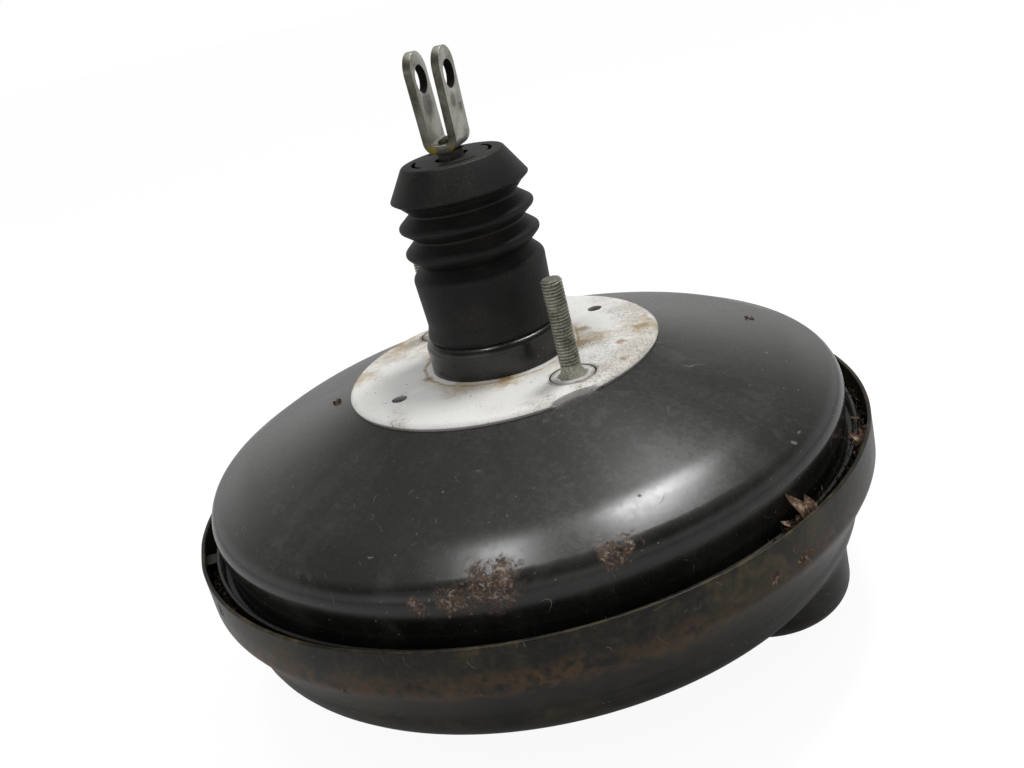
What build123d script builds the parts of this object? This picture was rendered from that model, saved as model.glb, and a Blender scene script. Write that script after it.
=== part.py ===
from build123d import *
import os
from math import atan2, cos, radians, sin, tan

# Single-diaphragm vacuum brake booster of the 11-inch class, with its input rod and clevis.
# All sizes are in millimetres.
# The origin is the centre of the face that bolts to the firewall. +Z runs along the input rod
# towards the pedal, and +X runs along the clevis pin. The brake pushes towards -Z.

# Clearances
close_fit = 0.1         # between pieces of one assembly that seat in each other
air_gap = 0.3           # between faces that move apart
slip = 0.05             # running clearance on the radius of sliding and turning fits

# Travels
valve_travel = 2.0      # input rod and plunger against the valve body
rod_tilt = 2.5          # input rod about its ball, each way, in degrees

# Steel shells
sheet = 1.6             # wall of both shells
neck_r = 29.0           # outside of the collar at the root of the neck
neck_h = 12.9           # height of that collar above the mounting face
spigot_r = 24.6         # tube above the collar, which carries the boot
spigot_top = 35.0
neck_corner = 1.0       # rounding at the root of the neck and of the spigot
collar_corner = 2.0     # rounding of the collar's top edge, over the sheet's own thickness

plate_t = 2.0           # plated stiffening plate under the studs
plate_r = 65.5
plate_flat_r = 60.2     # where the flat face starts to follow the dome
plate_dip_r = 9.2       # clearance hole round a stud's flange
notch_r = 16.0          # scallop in the plate's edge beside one stud
notch_depth = 2.8
notch_turn = -9.0       # from that stud, in degrees about Z

lip_r = 141.0           # outside of the front shell's skirt
edge_inset = 7.0        # from there to the inside of the rear shell's upturned edge
groove_w = 3.5          # floor of the groove inside that edge
wall_draft = 2.5        # the dome's wall draws in towards the groove
knee_w = 17.0           # sloping band between the dome's knee and its shoulder
dome_knee_z = -20.0     # where the dome steepens
shoulder_drop = 8.5
shoulder_round = 7.4
knee_round = 60.0
plate_edge_round = 12.0
groove_z = -53.5        # floor of the groove round the rim
edge_h = 6.0
groove_round = 1.2
lip_over_edge = 3.5     # the skirt's lip stands over the upturned edge

bead_r = 3.9            # outer bead of the diaphragm, in section
skirt_under_bead = 1.9  # the skirt goes on this far below the bead's middle
body_inset = 9.0        # the wall under the skirt, from the lip
body_drop = 16.0        # height of the step between skirt and wall
wall_h = 15.0
face_draft = 1.5
face_round = 11.4
boss_foot_r = 66.0      # raised face for the master cylinder
boss_r = 59.0
boss_h = 8.0
pilot_r = 23.5          # hole for the master cylinder's spigot
skirt_round = 6.0
body_round = 8.0
boss_round = 4.0

lobe_inset = 36.0       # bulge on the front face, from the wall to its axis
lobe_angle = -11.0
lobe_r = 32.5
lobe_h = 22.0
lobe_round = 13.0
lobe_overlap = 8.0      # how far the bulge runs up into the shell before it is trimmed

stake_angles = (-148.0, -28.0, 92.0)
stake_sweep = 7.0       # degrees of arc of each staked dent
stake_depth = 0.8
stake_h = 3.0

# Studs
stud_pcd = 99.0
stud_angle = -39.0
stud_r = 4.0            # M8
stud_top = 38.4
stud_flange_r = 8.6
stud_collar_r = 5.7
stud_collar_h = 2.5
stud_shank_r = 4.6      # riveted through the shell
stud_head_r = 7.5
stud_head_h = 3.0
tip_chamfer = 0.8
jig_hole_r = 3.1

front_plate_r = 52.0    # stiffening plate inside the front shell
front_plate_t = 3.0
master_pcd = 82.0
master_stud_r = 4.0     # M8
master_stud_out = 22.0
master_turn = 90.0      # from the lobe

# Neck bearing and seal
bearing_h = 3.4
seal_h = 6.6
retainer_h = 1.8
tail_r = 19.0           # valve body's tail, which slides in them
seal_lip = 2.6          # radial depth of the groove behind the seal's lips

# Valve body
tail_top = 79.5
hub_r = 34.0
hub_collar_h = 4.1      # collar above the groove that holds the diaphragm
hub_groove_depth = 2.6
hub_groove_h = 7.0
hub_step = 3.0          # flange under the diaphragm plate, wider than the hub
hub_body_h = 15.0
hub_flange_h = 4.0
nose_r = 22.0
nose_h = 12.0
chamber_r = 16.0        # filter and poppet chamber inside the tail
chamber_floor = 9.0
air_bore_r = 11.0
seat_lip_r = 12.2
seat_lip_top = 11.5
guide_r = 8.0
guide_top = -2.0
guide_bottom = -33.0
nose_bore_r = 5.0
pocket_r = 11.0
pocket_top = -35.0
port_r = 1.4
port_reach = 14.1
port_count = 4
port_turn = 45.0
key_t = 2.4
key_top = -4.8
key_w = 15.0
key_out = 2.0           # the key stands out of the hub

# Control plunger and ball
plunger_seat_z = 12.5
plunger_seat_r = 10.0
plunger_seat_h = 3.5
plunger_groove_r = 5.4
plunger_nose_h = 1.8
ball_r = 4.8
ball_z = 6.5
ball_mouth_r = 4.2

# Reaction disc and output rod
disc_h = 6.0
rod_flange_h = 3.2
output_r = 6.0
output_inset = 3.0      # the rod ends this far behind the front face
screw_r = 3.0
screw_head_r = 5.0
screw_head_h = 5.0
cap_t = 0.9
cap_skirt = 8.0
screw_depth = 9.0

# Poppet and its springs
poppet_t = 2.0
poppet_bore_r = 6.2
poppet_r = 13.4
poppet_wall = 1.2
poppet_bead_low = 27.0
poppet_bead_h = 3.0
poppet_cup_t = 1.2
poppet_cup_bore_r = 7.4
poppet_cup_drop = 5.0
poppet_spring_r = 10.4
poppet_wire_r = 0.55
poppet_turns = 4
input_spring_r = 8.6
input_wire_r = 0.8
input_turns = 4
spring_seat_z = 45.4
spring_seat_r = 10.0
spring_seat_h = 1.6

# Input rod and clevis
rod_r = 5.0
rod_neck_r = 3.2
rod_neck_top = 20.0
rod_cone_top = 26.0
tenon_r = 2.4
rivet_l = 11.0          # the tenon's end is peened over in the clevis, along Y
rivet_w = 5.0
rivet_h = 1.4
strap_t = 3.3
strap_w = 20.0
clevis_bottom = 85.2
clevis_gap = 5.8        # between the ears at the bend
ear_splay = 1.6         # each ear leans out by this many degrees
bend_inner_r = 1.8
pin_z = 113.0
pin_bore_r = 5.2
ear_top = 123.6

# Filters in the tail
silencer_top = 78.8
silencer_h = 8.0
filter_h = 10.0
filter_ring_h = 1.2

# Diaphragm and its plate
rubber = 1.6
plate_steel = 1.5
disc_knee_r = 62.0
disc_drop = 18.0        # the plate falls this far from its knee to its rim
disc_rim_h = 7.0
disc_round = 4.0
fold_w = 8.6            # between the two legs of the diaphragm's roll
fold_h = 5.9            # the roll hangs this far below the bead
fold_inset = 7.9        # from the bead's middle to the outer leg

# Boot
boot_wall = 1.6
boot_foot_t = 2.0       # the sleeve's thickness at its foot
boot_bulge_t = 2.4
boot_waist_t = 1.3
boot_waist_rise = 6.0
boot_shoulder_t = 2.1
boot_shoulder_rise = 3.9
boot_valley_r = 21.7
boot_peak_r = 28.0
boot_fold_count = 2
boot_flange_r = 27.7
boot_flange_drop = 9.1  # below the inside of the cap
boot_collar_drop = 7.3
boot_top_r = 20.3
boot_top_t = 3.2
boot_slot_reach = 15.3
boot_slot_w = 2.2
boot_slot_sweep = 58.0
boot_slot_count = 4

# Return spring
return_r = 28.4
return_wire_r = 1.8
return_turns = 6

# Vacuum port
port_angle = 169.0
port_inset = 40.0       # from the wall of the front shell
grommet_hole_r = 9.5
grommet_lip_r = 12.5
grommet_lip_h = 2.2
valve_stem_r = 6.9
valve_stem_top = 8.0
valve_body_r = 10.0
valve_body_h = 13.0
valve_wall = 1.6
nozzle_r = 4.4
nozzle_bore_r = 3.0
nozzle_l = 25.0
nozzle_bead_r = 5.1
nozzle_bead_h = 2.5
check_disc_r = 4.4
check_disc_h = 1.6
check_wire_r = 0.35
check_turns = 3


def outline(points):
    """A closed profile in the XZ plane, given as (radius, height) points."""
    with BuildSketch(Plane.XZ) as profile:
        with BuildLine():
            Polyline(*points, close=True)
        make_face()
    return profile.sketch


def bend_radii(points, bends, thickness):
    """The corner radii of a bent sheet's two faces, from its inside radii; the metal is on the right."""
    near_bends = []
    far_bends = []
    for (x0, z0), (x1, z1), (x2, z2), bend in zip(points, points[1:], points[2:], bends):
        turns_left = (x1 - x0) * (z2 - z1) > (z1 - z0) * (x2 - x1)
        near_bends.append(bend if turns_left else bend + thickness)
        far_bends.append(bend + thickness if turns_left else bend)
    return near_bends, far_bends


def sheet_outline(points, bends, thickness):
    """The section of a pressed sheet with the metal on the line's right; bends are inside radii."""
    near_bends, far_bends = bend_radii(points, bends, thickness)
    with BuildSketch(Plane.XZ) as profile:
        with BuildLine():
            near = FilletPolyline(*points, radius=near_bends)
            far = FilletPolyline(*parallel(points, -thickness), radius=far_bends)
            Line(near @ 0, far @ 0)
            Line(near @ 1, far @ 1)
        make_face()
    return profile.sketch


def hollow_outline(points, bends, thickness):
    """The space inside a pressed sheet, from its far face to the Z axis."""
    far_bends = bend_radii(points, bends, thickness)[1]
    far_points = parallel(points, -thickness)
    with BuildSketch(Plane.XZ) as profile:
        with BuildLine():
            FilletPolyline(*far_points, radius=far_bends)
            Polyline(far_points[-1], (0, far_points[-1][1]), (0, far_points[0][1]), far_points[0])
        make_face()
    return profile.sketch


def parallel(points, gap):
    """An open polyline moved sideways by gap, to the left of its direction."""
    moved = []
    for index, (x, z) in enumerate(points):
        before = points[max(index - 1, 0)]
        here = points[min(index, len(points) - 2)]
        after = points[min(index + 1, len(points) - 1)]
        turn_in = atan2(z - before[1], x - before[0]) if index else None
        turn_out = atan2(after[1] - here[1], after[0] - here[0])
        turn_in = turn_out if turn_in is None else turn_in
        half = (turn_out - turn_in) / 2
        way = (turn_in + turn_out) / 2
        reach = gap / cos(half)
        moved.append((x - reach * sin(way), z + reach * cos(way)))
    return moved


def coil(radius, wire, low, high, turns):
    """A round wire spring on the Z axis between two heights."""
    with BuildPart() as spring:
        with BuildLine() as path:
            Helix((high - low - 2 * wire) / turns, high - low - 2 * wire, radius, center=(0, 0, low + wire))
        with BuildSketch(Plane(origin=path.line @ 0, z_dir=path.line % 0)):
            Circle(wire)
        sweep(is_frenet=True)
    return spring.part


def polar(reach, angle, height=0.0):
    """A point at a distance and a turn from the Z axis."""
    return (reach * cos(radians(angle)), reach * sin(radians(angle)), height)


def save(piece, name):
    """Label a finished piece and write its STEP file."""
    piece.part.label = name
    export_step(piece.part, f"parts/{name}.step")


os.makedirs("parts", exist_ok=True)

# ---------------------------------------------------------------- housing
edge_r = lip_r - edge_inset
edge_top = groove_z + edge_h
wall_foot_r = edge_r - groove_w
shoulder_r = wall_foot_r + wall_draft
shoulder_z = dome_knee_z - shoulder_drop
dome_knee_r = shoulder_r - knee_w
shell_in = -plate_t - sheet             # inner flat of the rear shell
rear_line = [
    (spigot_r, spigot_top),
    (spigot_r, neck_h),
    (neck_r, neck_h),
    (neck_r, -plate_t),
    (plate_flat_r, -plate_t),
    (dome_knee_r, dome_knee_z),
    (shoulder_r, shoulder_z),
    (wall_foot_r, groove_z),
    (edge_r, groove_z),
    (edge_r, edge_top),
]
rear_bends = [
    neck_corner,
    collar_corner,
    neck_corner,
    plate_edge_round,
    knee_round,
    shoulder_round,
    groove_round,
    groove_round,
]
with BuildPart() as rear_shell:
    revolve(sheet_outline(rear_line, rear_bends, sheet), axis=Axis.Z)
    with BuildSketch(Plane.XY.offset(shell_in)):
        with PolarLocations(stud_pcd / 2, 2, start_angle=stud_angle):
            Circle(stud_shank_r + close_fit)
    extrude(amount=sheet, mode=Mode.SUBTRACT)
save(rear_shell, "rear_shell")

# The plate lies on the shell's flat and follows the start of the dome.
plate_hole_r = neck_r + close_fit
plate_back = [(plate_hole_r, -plate_t), (plate_flat_r, -plate_t), (dome_knee_r, dome_knee_z)]
plate_line = parallel(plate_back, plate_t)
dome_slope = (dome_knee_z + plate_t) / (dome_knee_r - plate_flat_r)
plate_line[2] = (plate_r, (plate_r - plate_line[1][0]) * dome_slope)
with BuildPart() as mounting_plate:
    revolve(sheet_outline(plate_line, [plate_edge_round + sheet], plate_t), axis=Axis.Z)
    rims = mounting_plate.edges().filter_by(lambda edge: edge.is_closed)
    chamfer(rims.sort_by(SortBy.RADIUS)[:2].sort_by(Axis.Z)[0], neck_corner)
    with BuildSketch(Plane.XY.offset(-plate_t)):
        with PolarLocations(stud_pcd / 2, 2, start_angle=stud_angle):
            Circle(plate_dip_r)
        with PolarLocations(stud_pcd / 2, 2, start_angle=stud_angle + 90):
            Circle(jig_hole_r)
    extrude(amount=plate_t, mode=Mode.SUBTRACT)
    with BuildSketch(Plane.XY.offset(-plate_r)):
        with Locations(polar(plate_r + notch_r - notch_depth, stud_angle + notch_turn)):
            Circle(notch_r)
    extrude(amount=plate_r + plate_t, mode=Mode.SUBTRACT)
save(mounting_plate, "mounting_plate")

firewall_stud = [
    (0, shell_in - stud_head_h),
    (stud_head_r, shell_in - stud_head_h),
    (stud_head_r, shell_in),
    (stud_shank_r, shell_in),
    (stud_shank_r, -plate_t),
    (stud_flange_r, -plate_t),
    (stud_flange_r, 0),
    (stud_collar_r, 0),
    (stud_r, stud_collar_h),
    (stud_r, stud_top - tip_chamfer),
    (stud_r - tip_chamfer, stud_top),
    (0, stud_top),
]
with BuildPart() as one_firewall_stud:
    revolve(outline(firewall_stud), axis=Axis.Z)
with BuildPart() as firewall_studs:
    with PolarLocations(stud_pcd / 2, 2, start_angle=stud_angle):
        add(one_firewall_stud.part)
save(firewall_studs, "firewall_studs")


bead_z = groove_z - sheet - close_fit - bead_r
skirt_foot = bead_z - skirt_under_bead
body_r = lip_r - body_inset
body_top = skirt_foot - body_drop
face_edge_r = body_r - face_draft
face_z = body_top - wall_h
boss_z = face_z - boss_h
lobe_bottom = face_z - lobe_h
lobe_reach = body_r - lobe_inset
vacuum_reach = body_r - port_inset


def lobe(radius, bottom, corner):
    """The bulge of the front face, or its hollow, as a plug with a rounded end."""
    with BuildPart() as plug:
        with BuildSketch(Plane.XY.offset(bottom)):
            with Locations(polar(lobe_reach, lobe_angle)):
                Circle(radius)
        extrude(amount=face_z + lobe_overlap - bottom)
        fillet(plug.edges().group_by(Axis.Z)[0], corner)
    return plug.part


front_line = [
    (lip_r, edge_top + lip_over_edge),
    (lip_r, skirt_foot),
    (body_r, body_top),
    (face_edge_r, face_z),
    (boss_foot_r, face_z),
    (boss_r, boss_z),
    (pilot_r, boss_z),
]
front_bends = [skirt_round, body_round, face_round, boss_round, boss_round]
master_angle = lobe_angle + master_turn
port_place = polar(vacuum_reach, port_angle)
with BuildPart() as stake:
    revolve(
        outline([
            (edge_r, edge_top + close_fit),
            (lip_r - sheet / 2, edge_top + close_fit),
            (lip_r - sheet / 2, edge_top + close_fit + sheet),
            (edge_r, edge_top + close_fit + sheet),
        ]),
        axis=Axis.Z,
        revolution_arc=stake_sweep,
    )
with BuildPart() as stake_dent:
    revolve(
        outline([
            (lip_r - stake_depth, edge_top - stake_h / 2),
            (lip_r + stake_depth, edge_top - stake_h / 2),
            (lip_r + stake_depth, edge_top + stake_h / 2),
            (lip_r - stake_depth, edge_top + stake_h / 2),
        ]),
        axis=Axis.Z,
        revolution_arc=stake_sweep,
    )
with BuildPart() as front_shell:
    add(lobe(lobe_r, lobe_bottom, lobe_round))
    revolve(hollow_outline(front_line, front_bends, sheet), axis=Axis.Z, mode=Mode.SUBTRACT)
    revolve(sheet_outline(front_line, front_bends, sheet), axis=Axis.Z)
    add(lobe(lobe_r - sheet, lobe_bottom + sheet, lobe_round - sheet), mode=Mode.SUBTRACT)
    for angle in stake_angles:
        add(stake.part, rotation=(0, 0, angle - stake_sweep / 2))
        add(stake_dent.part, rotation=(0, 0, angle - stake_sweep / 2), mode=Mode.SUBTRACT)
    with BuildSketch(Plane.XY.offset(boss_z)):
        with PolarLocations(master_pcd / 2, 2, start_angle=master_angle):
            Circle(stud_shank_r + close_fit)
        with Locations(port_place):
            Circle(grommet_hole_r)
    extrude(amount=face_z + 2 * sheet - boss_z, mode=Mode.SUBTRACT)
save(front_shell, "front_shell")

front_in = boss_z + sheet               # inner flat behind the master cylinder
front_plate_top = front_in + front_plate_t
with BuildPart() as front_plate:
    with BuildSketch(Plane.XY.offset(front_in)):
        Circle(front_plate_r)
        Circle(pilot_r, mode=Mode.SUBTRACT)
        with PolarLocations(master_pcd / 2, 2, start_angle=master_angle):
            Circle(stud_shank_r + close_fit, mode=Mode.SUBTRACT)
    extrude(amount=front_plate_t)
    fillet(front_plate.edges().filter_by(GeomType.CIRCLE).sort_by(SortBy.RADIUS)[-2:], sheet / 2)
save(front_plate, "front_plate")

master_stud = [
    (0, front_plate_top + stud_head_h),
    (stud_head_r, front_plate_top + stud_head_h),
    (stud_head_r, front_plate_top),
    (stud_shank_r, front_plate_top),
    (stud_shank_r, boss_z),
    (master_stud_r, boss_z),
    (master_stud_r, boss_z - master_stud_out + tip_chamfer),
    (master_stud_r - tip_chamfer, boss_z - master_stud_out),
    (0, boss_z - master_stud_out),
]
with BuildPart() as one_master_stud:
    revolve(outline(master_stud), axis=Axis.Z)
with BuildPart() as master_cylinder_studs:
    with PolarLocations(master_pcd / 2, 2, start_angle=master_angle):
        add(one_master_stud.part)
save(master_cylinder_studs, "master_cylinder_studs")

# Bearing, lip seal and retainer fill the neck from the collar's shoulder down.
neck_bore = neck_r - sheet - close_fit
tail_bore = tail_r + slip
bearing_top = neck_h - sheet - close_fit
seal_top = bearing_top - bearing_h - close_fit
retainer_top = seal_top - seal_h - close_fit
with BuildPart() as neck_bearing:
    revolve(
        outline([
            (tail_bore, bearing_top - bearing_h),
            (neck_bore, bearing_top - bearing_h),
            (neck_bore, bearing_top - collar_corner),
            (neck_bore - collar_corner, bearing_top),
            (tail_bore, bearing_top),
        ]),
        axis=Axis.Z,
    )
save(neck_bearing, "neck_bearing")

with BuildPart() as neck_seal:
    revolve(
        outline([
            (neck_bore, seal_top - seal_h),
            (neck_bore, seal_top),
            (tail_bore + seal_lip, seal_top),
            (tail_bore, seal_top - seal_h / 6),
            (tail_bore, seal_top - seal_h / 3),
            (tail_bore + seal_lip, seal_top - seal_h / 2),
            (tail_bore, seal_top - seal_h * 2 / 3),
            (tail_bore, seal_top - seal_h * 5 / 6),
            (tail_bore + seal_lip, seal_top - seal_h),
        ]),
        axis=Axis.Z,
    )
save(neck_seal, "neck_seal")

with BuildPart() as seal_retainer:
    with BuildSketch(Plane.XY.offset(retainer_top - retainer_h)):
        Circle(neck_bore)
        Circle(tail_bore + seal_lip, mode=Mode.SUBTRACT)
    extrude(amount=retainer_h)
save(seal_retainer, "seal_retainer")

# ---------------------------------------------------------------- power piston
hub_back = shell_in - air_gap
hub_groove_r = hub_r - hub_groove_depth
hub_groove_top = hub_back - hub_collar_h
disc_collar_top = hub_groove_top - hub_groove_h
hub_flange_r = hub_r + hub_step
hub_flange_top = disc_collar_top - hub_body_h
hub_front = hub_flange_top - hub_flange_h
nose_front = hub_front - nose_h
key_reach = hub_r + key_out
hub_bore_line = [
    (pocket_r, nose_front),
    (pocket_r, pocket_top),
    (nose_bore_r, pocket_top),
    (nose_bore_r, guide_bottom),
    (guide_r, guide_bottom),
    (guide_r, guide_top),
    (air_bore_r, guide_top),
    (air_bore_r, seat_lip_top),
    (seat_lip_r, seat_lip_top),
    (seat_lip_r, chamber_floor),
    (chamber_r, chamber_floor),
    (chamber_r, tail_top),
]
hub_outer_line = [
    (tail_r, tail_top),
    (tail_r, hub_back),
    (hub_r, hub_back),
    (hub_r, hub_groove_top),
    (hub_groove_r, hub_groove_top),
    (hub_groove_r, disc_collar_top),
    (hub_r, disc_collar_top),
    (hub_r, hub_flange_top),
    (hub_flange_r, hub_flange_top),
    (hub_flange_r, hub_front),
    (nose_r, hub_front),
    (nose_r, nose_front),
]
with BuildPart() as valve_body:
    revolve(outline(hub_bore_line + hub_outer_line), axis=Axis.Z)
    with BuildSketch(Plane.XY.offset(nose_front)):
        with PolarLocations(port_reach, port_count, start_angle=port_turn):
            Circle(port_r)
    extrude(amount=chamber_floor - nose_front, mode=Mode.SUBTRACT)
    with BuildSketch(Plane.XY.offset(key_top - key_t - close_fit)):
        with Locations((-guide_r - close_fit, 0)):
            Rectangle(guide_r + key_reach, key_w + 2 * close_fit, align=(Align.MIN, Align.CENTER))
    extrude(amount=key_t + 2 * close_fit, mode=Mode.SUBTRACT)
save(valve_body, "valve_body")

# The stop key is a fork that straddles the plunger's groove.
with BuildPart() as stop_key:
    with BuildSketch(Plane.XY.offset(key_top - key_t)):
        with Locations((-guide_r, 0)):
            Rectangle(guide_r + key_reach, key_w, align=(Align.MIN, Align.CENTER))
        with Locations((-guide_r, 0)):
            SlotCenterToCenter(2 * guide_r, 2 * (plunger_groove_r + air_gap), mode=Mode.SUBTRACT)
    extrude(amount=key_t)
save(stop_key, "stop_key")

bead_mid_r = lip_r - sheet - close_fit - bead_r
fold_out_r = bead_mid_r - fold_inset
fold_z = bead_z - fold_h
disc_rim_r = fold_out_r - fold_w - rubber - air_gap
disc_rim_z = disc_collar_top - disc_drop
disc_line = [
    (hub_r + close_fit, hub_flange_top),
    (hub_r + close_fit, disc_collar_top),
    (disc_knee_r, disc_collar_top),
    (disc_rim_r, disc_rim_z),
    (disc_rim_r, disc_rim_z - disc_rim_h),
]
disc_bends = [plate_steel / 2, disc_round, disc_round]
with BuildPart() as diaphragm_plate:
    revolve(sheet_outline(disc_line, disc_bends, plate_steel), axis=Axis.Z)
save(diaphragm_plate, "diaphragm_plate")

# The diaphragm lies over its plate, rolls round the rim and ends in the bead between the shells.
over_plate = parallel(disc_line[1:], air_gap + rubber)
web_z = bead_z + rubber / 2
rubber_line = [
    (hub_r, over_plate[0][1]),
    over_plate[1],
    over_plate[2],
    (over_plate[2][0], fold_z),
    (fold_out_r, fold_z),
    (fold_out_r, web_z),
    (bead_mid_r, web_z),
]
fold_round = fold_w / 2 - close_fit
with BuildPart() as diaphragm:
    revolve(
        sheet_outline(rubber_line, [disc_round, disc_round, fold_round, fold_round, rubber / 2], rubber),
        axis=Axis.Z,
    )
    revolve(
        outline([
            (hub_groove_r + close_fit, over_plate[0][1] - rubber),
            (hub_r, over_plate[0][1] - rubber),
            (hub_r, hub_groove_top - close_fit),
            (hub_groove_r + close_fit, hub_groove_top - close_fit),
        ]),
        axis=Axis.Z,
    )
    with BuildSketch(Plane.XZ):
        with Locations((bead_mid_r, bead_z)):
            Circle(bead_r)
    revolve(axis=Axis.Z)
save(diaphragm, "diaphragm")

disc_bottom = pocket_top - disc_h
with BuildPart() as reaction_disc:
    with BuildSketch(Plane.XY.offset(disc_bottom)):
        Circle(pocket_r - close_fit)
    extrude(amount=disc_h)
save(reaction_disc, "reaction_disc")

flange_bottom = disc_bottom - rod_flange_h
output_end = boss_z + output_inset
with BuildPart() as output_rod:
    revolve(
        outline([
            (0, disc_bottom),
            (pocket_r - close_fit, disc_bottom),
            (pocket_r - close_fit, flange_bottom),
            (output_r, flange_bottom),
            (output_r, output_end),
            (screw_r + close_fit, output_end),
            (screw_r + close_fit, output_end + screw_depth),
            (0, output_end + screw_depth),
        ]),
        axis=Axis.Z,
    )
save(output_rod, "output_rod")

with BuildPart() as output_rod_screw:
    revolve(
        outline([
            (0, output_end + screw_depth - air_gap),
            (screw_r, output_end + screw_depth - air_gap),
            (screw_r, output_end),
            (screw_head_r, output_end),
            (screw_head_r, output_end - screw_head_h / 2),
            (screw_head_r / 2, output_end - screw_head_h),
            (0, output_end - screw_head_h),
        ]),
        axis=Axis.Z,
    )
save(output_rod_screw, "output_rod_screw")

# A spring-steel cap over the nose keeps the output rod's flange in its pocket.
cap_in = nose_front - close_fit
with BuildPart() as output_rod_cap:
    revolve(
        outline([
            (output_r + air_gap, cap_in),
            (output_r + air_gap, cap_in - cap_t),
            (nose_r + close_fit + cap_t, cap_in - cap_t),
            (nose_r + close_fit + cap_t, cap_in + cap_skirt),
            (nose_r + close_fit, cap_in + cap_skirt),
            (nose_r + close_fit, cap_in),
        ]),
        axis=Axis.Z,
    )
    with BuildSketch(Plane.XY.offset(cap_in - cap_t)):
        with PolarLocations(port_reach, port_count, start_angle=port_turn):
            Circle(port_r)
    extrude(amount=cap_t, mode=Mode.SUBTRACT)
save(output_rod_cap, "output_rod_cap")

# Poppet valve: a face over both seats, a sleeve, and a bead held down by the cup.
poppet_face = plunger_seat_z + air_gap
poppet_bore = poppet_r - poppet_wall
bead_top = poppet_bead_low + poppet_bead_h
with BuildPart() as poppet_valve:
    revolve(
        outline([
            (poppet_bore_r, poppet_face),
            (poppet_r, poppet_face),
            (poppet_r, poppet_bead_low),
            (chamber_r - close_fit, poppet_bead_low),
            (chamber_r - close_fit, bead_top),
            (poppet_bore, bead_top),
            (poppet_bore, poppet_face + poppet_t),
            (poppet_bore_r, poppet_face + poppet_t),
        ]),
        axis=Axis.Z,
    )
save(poppet_valve, "poppet_valve")

cup_bottom = bead_top + close_fit
cup_top = cup_bottom + poppet_cup_t
with BuildPart() as poppet_cup:
    revolve(
        outline([
            (poppet_cup_bore_r, cup_bottom - poppet_cup_drop),
            (poppet_cup_bore_r + poppet_cup_t, cup_bottom - poppet_cup_drop),
            (poppet_cup_bore_r + poppet_cup_t, cup_bottom),
            (chamber_r - close_fit, cup_bottom),
            (chamber_r - close_fit, cup_top),
            (poppet_cup_bore_r, cup_top),
        ]),
        axis=Axis.Z,
    )
save(poppet_cup, "poppet_cup")

with BuildPart() as poppet_spring:
    add(coil(poppet_spring_r, poppet_wire_r, poppet_face + poppet_t + close_fit, bead_top, poppet_turns))
save(poppet_spring, "poppet_spring")

with BuildPart() as input_spring:
    add(coil(input_spring_r, input_wire_r, cup_top + close_fit, spring_seat_z - air_gap, input_turns))
save(input_spring, "input_spring")

# The filters leave the rod room to tilt about its ball.
tilt_room = tan(radians(rod_tilt))
filter_bore = rod_r + air_gap + (silencer_top - ball_z) * tilt_room
with BuildPart() as silencer:
    with BuildSketch(Plane.XY.offset(silencer_top - silencer_h)):
        Circle(chamber_r - close_fit)
        Circle(filter_bore, mode=Mode.SUBTRACT)
    extrude(amount=silencer_h)
save(silencer, "silencer")

filter_top = silencer_top - silencer_h - close_fit
with BuildPart() as air_filter:
    with BuildSketch(Plane.XY.offset(filter_top - filter_h)):
        Circle(chamber_r - close_fit)
        Circle(filter_bore, mode=Mode.SUBTRACT)
    extrude(amount=filter_h)
save(air_filter, "air_filter")

ring_top = filter_top - filter_h - close_fit
with BuildPart() as filter_ring:
    with BuildSketch(Plane.XY.offset(ring_top - filter_ring_h)):
        Circle(chamber_r - close_fit)
        Circle(filter_bore, mode=Mode.SUBTRACT)
    extrude(amount=filter_ring_h)
save(filter_ring, "filter_ring")

# ---------------------------------------------------------------- control plunger
groove_low = key_top - key_t - close_fit
groove_high = key_top + valve_travel + close_fit
land_bottom = guide_bottom + valve_travel + air_gap
with BuildPart() as control_plunger:
    revolve(
        outline([
            (0, land_bottom - plunger_nose_h),
            (nose_bore_r - close_fit, land_bottom - plunger_nose_h),
            (nose_bore_r - close_fit, land_bottom),
            (guide_r - slip, land_bottom),
            (guide_r - slip, groove_low),
            (plunger_groove_r, groove_low),
            (plunger_groove_r, groove_high),
            (guide_r - slip, groove_high),
            (guide_r - slip, plunger_seat_z - plunger_seat_h),
            (plunger_seat_r, plunger_seat_z - plunger_seat_h),
            (plunger_seat_r, plunger_seat_z),
            (0, plunger_seat_z),
        ]),
        axis=Axis.Z,
    )
    with Locations((0, 0, ball_z)):
        Sphere(ball_r + slip, mode=Mode.SUBTRACT)
    with BuildSketch(Plane.XY.offset(ball_z)):
        Circle(ball_mouth_r)
    extrude(amount=plunger_seat_z - ball_z, mode=Mode.SUBTRACT)
save(control_plunger, "control_plunger")

# ---------------------------------------------------------------- input rod and clevis
tenon_top = clevis_bottom + strap_t
with BuildPart() as input_rod:
    revolve(
        outline([
            (0, ball_z),
            (rod_neck_r, ball_z),
            (rod_neck_r, rod_neck_top),
            (rod_r, rod_cone_top),
            (rod_r, spring_seat_z),
            (spring_seat_r, spring_seat_z),
            (spring_seat_r, spring_seat_z + spring_seat_h),
            (rod_r, spring_seat_z + spring_seat_h),
            (rod_r, clevis_bottom),
            (tenon_r, clevis_bottom),
            (tenon_r, tenon_top),
            (0, tenon_top),
        ]),
        axis=Axis.Z,
    )
    with Locations((0, 0, ball_z)):
        Sphere(ball_r)
    with BuildSketch(Plane.XY.offset(tenon_top)):
        SlotOverall(rivet_l, rivet_w, rotation=90)
    extrude(amount=rivet_h)
    fillet(input_rod.edges().group_by(Axis.Z)[-1], rivet_h / 2)
save(input_rod, "input_rod")

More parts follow.
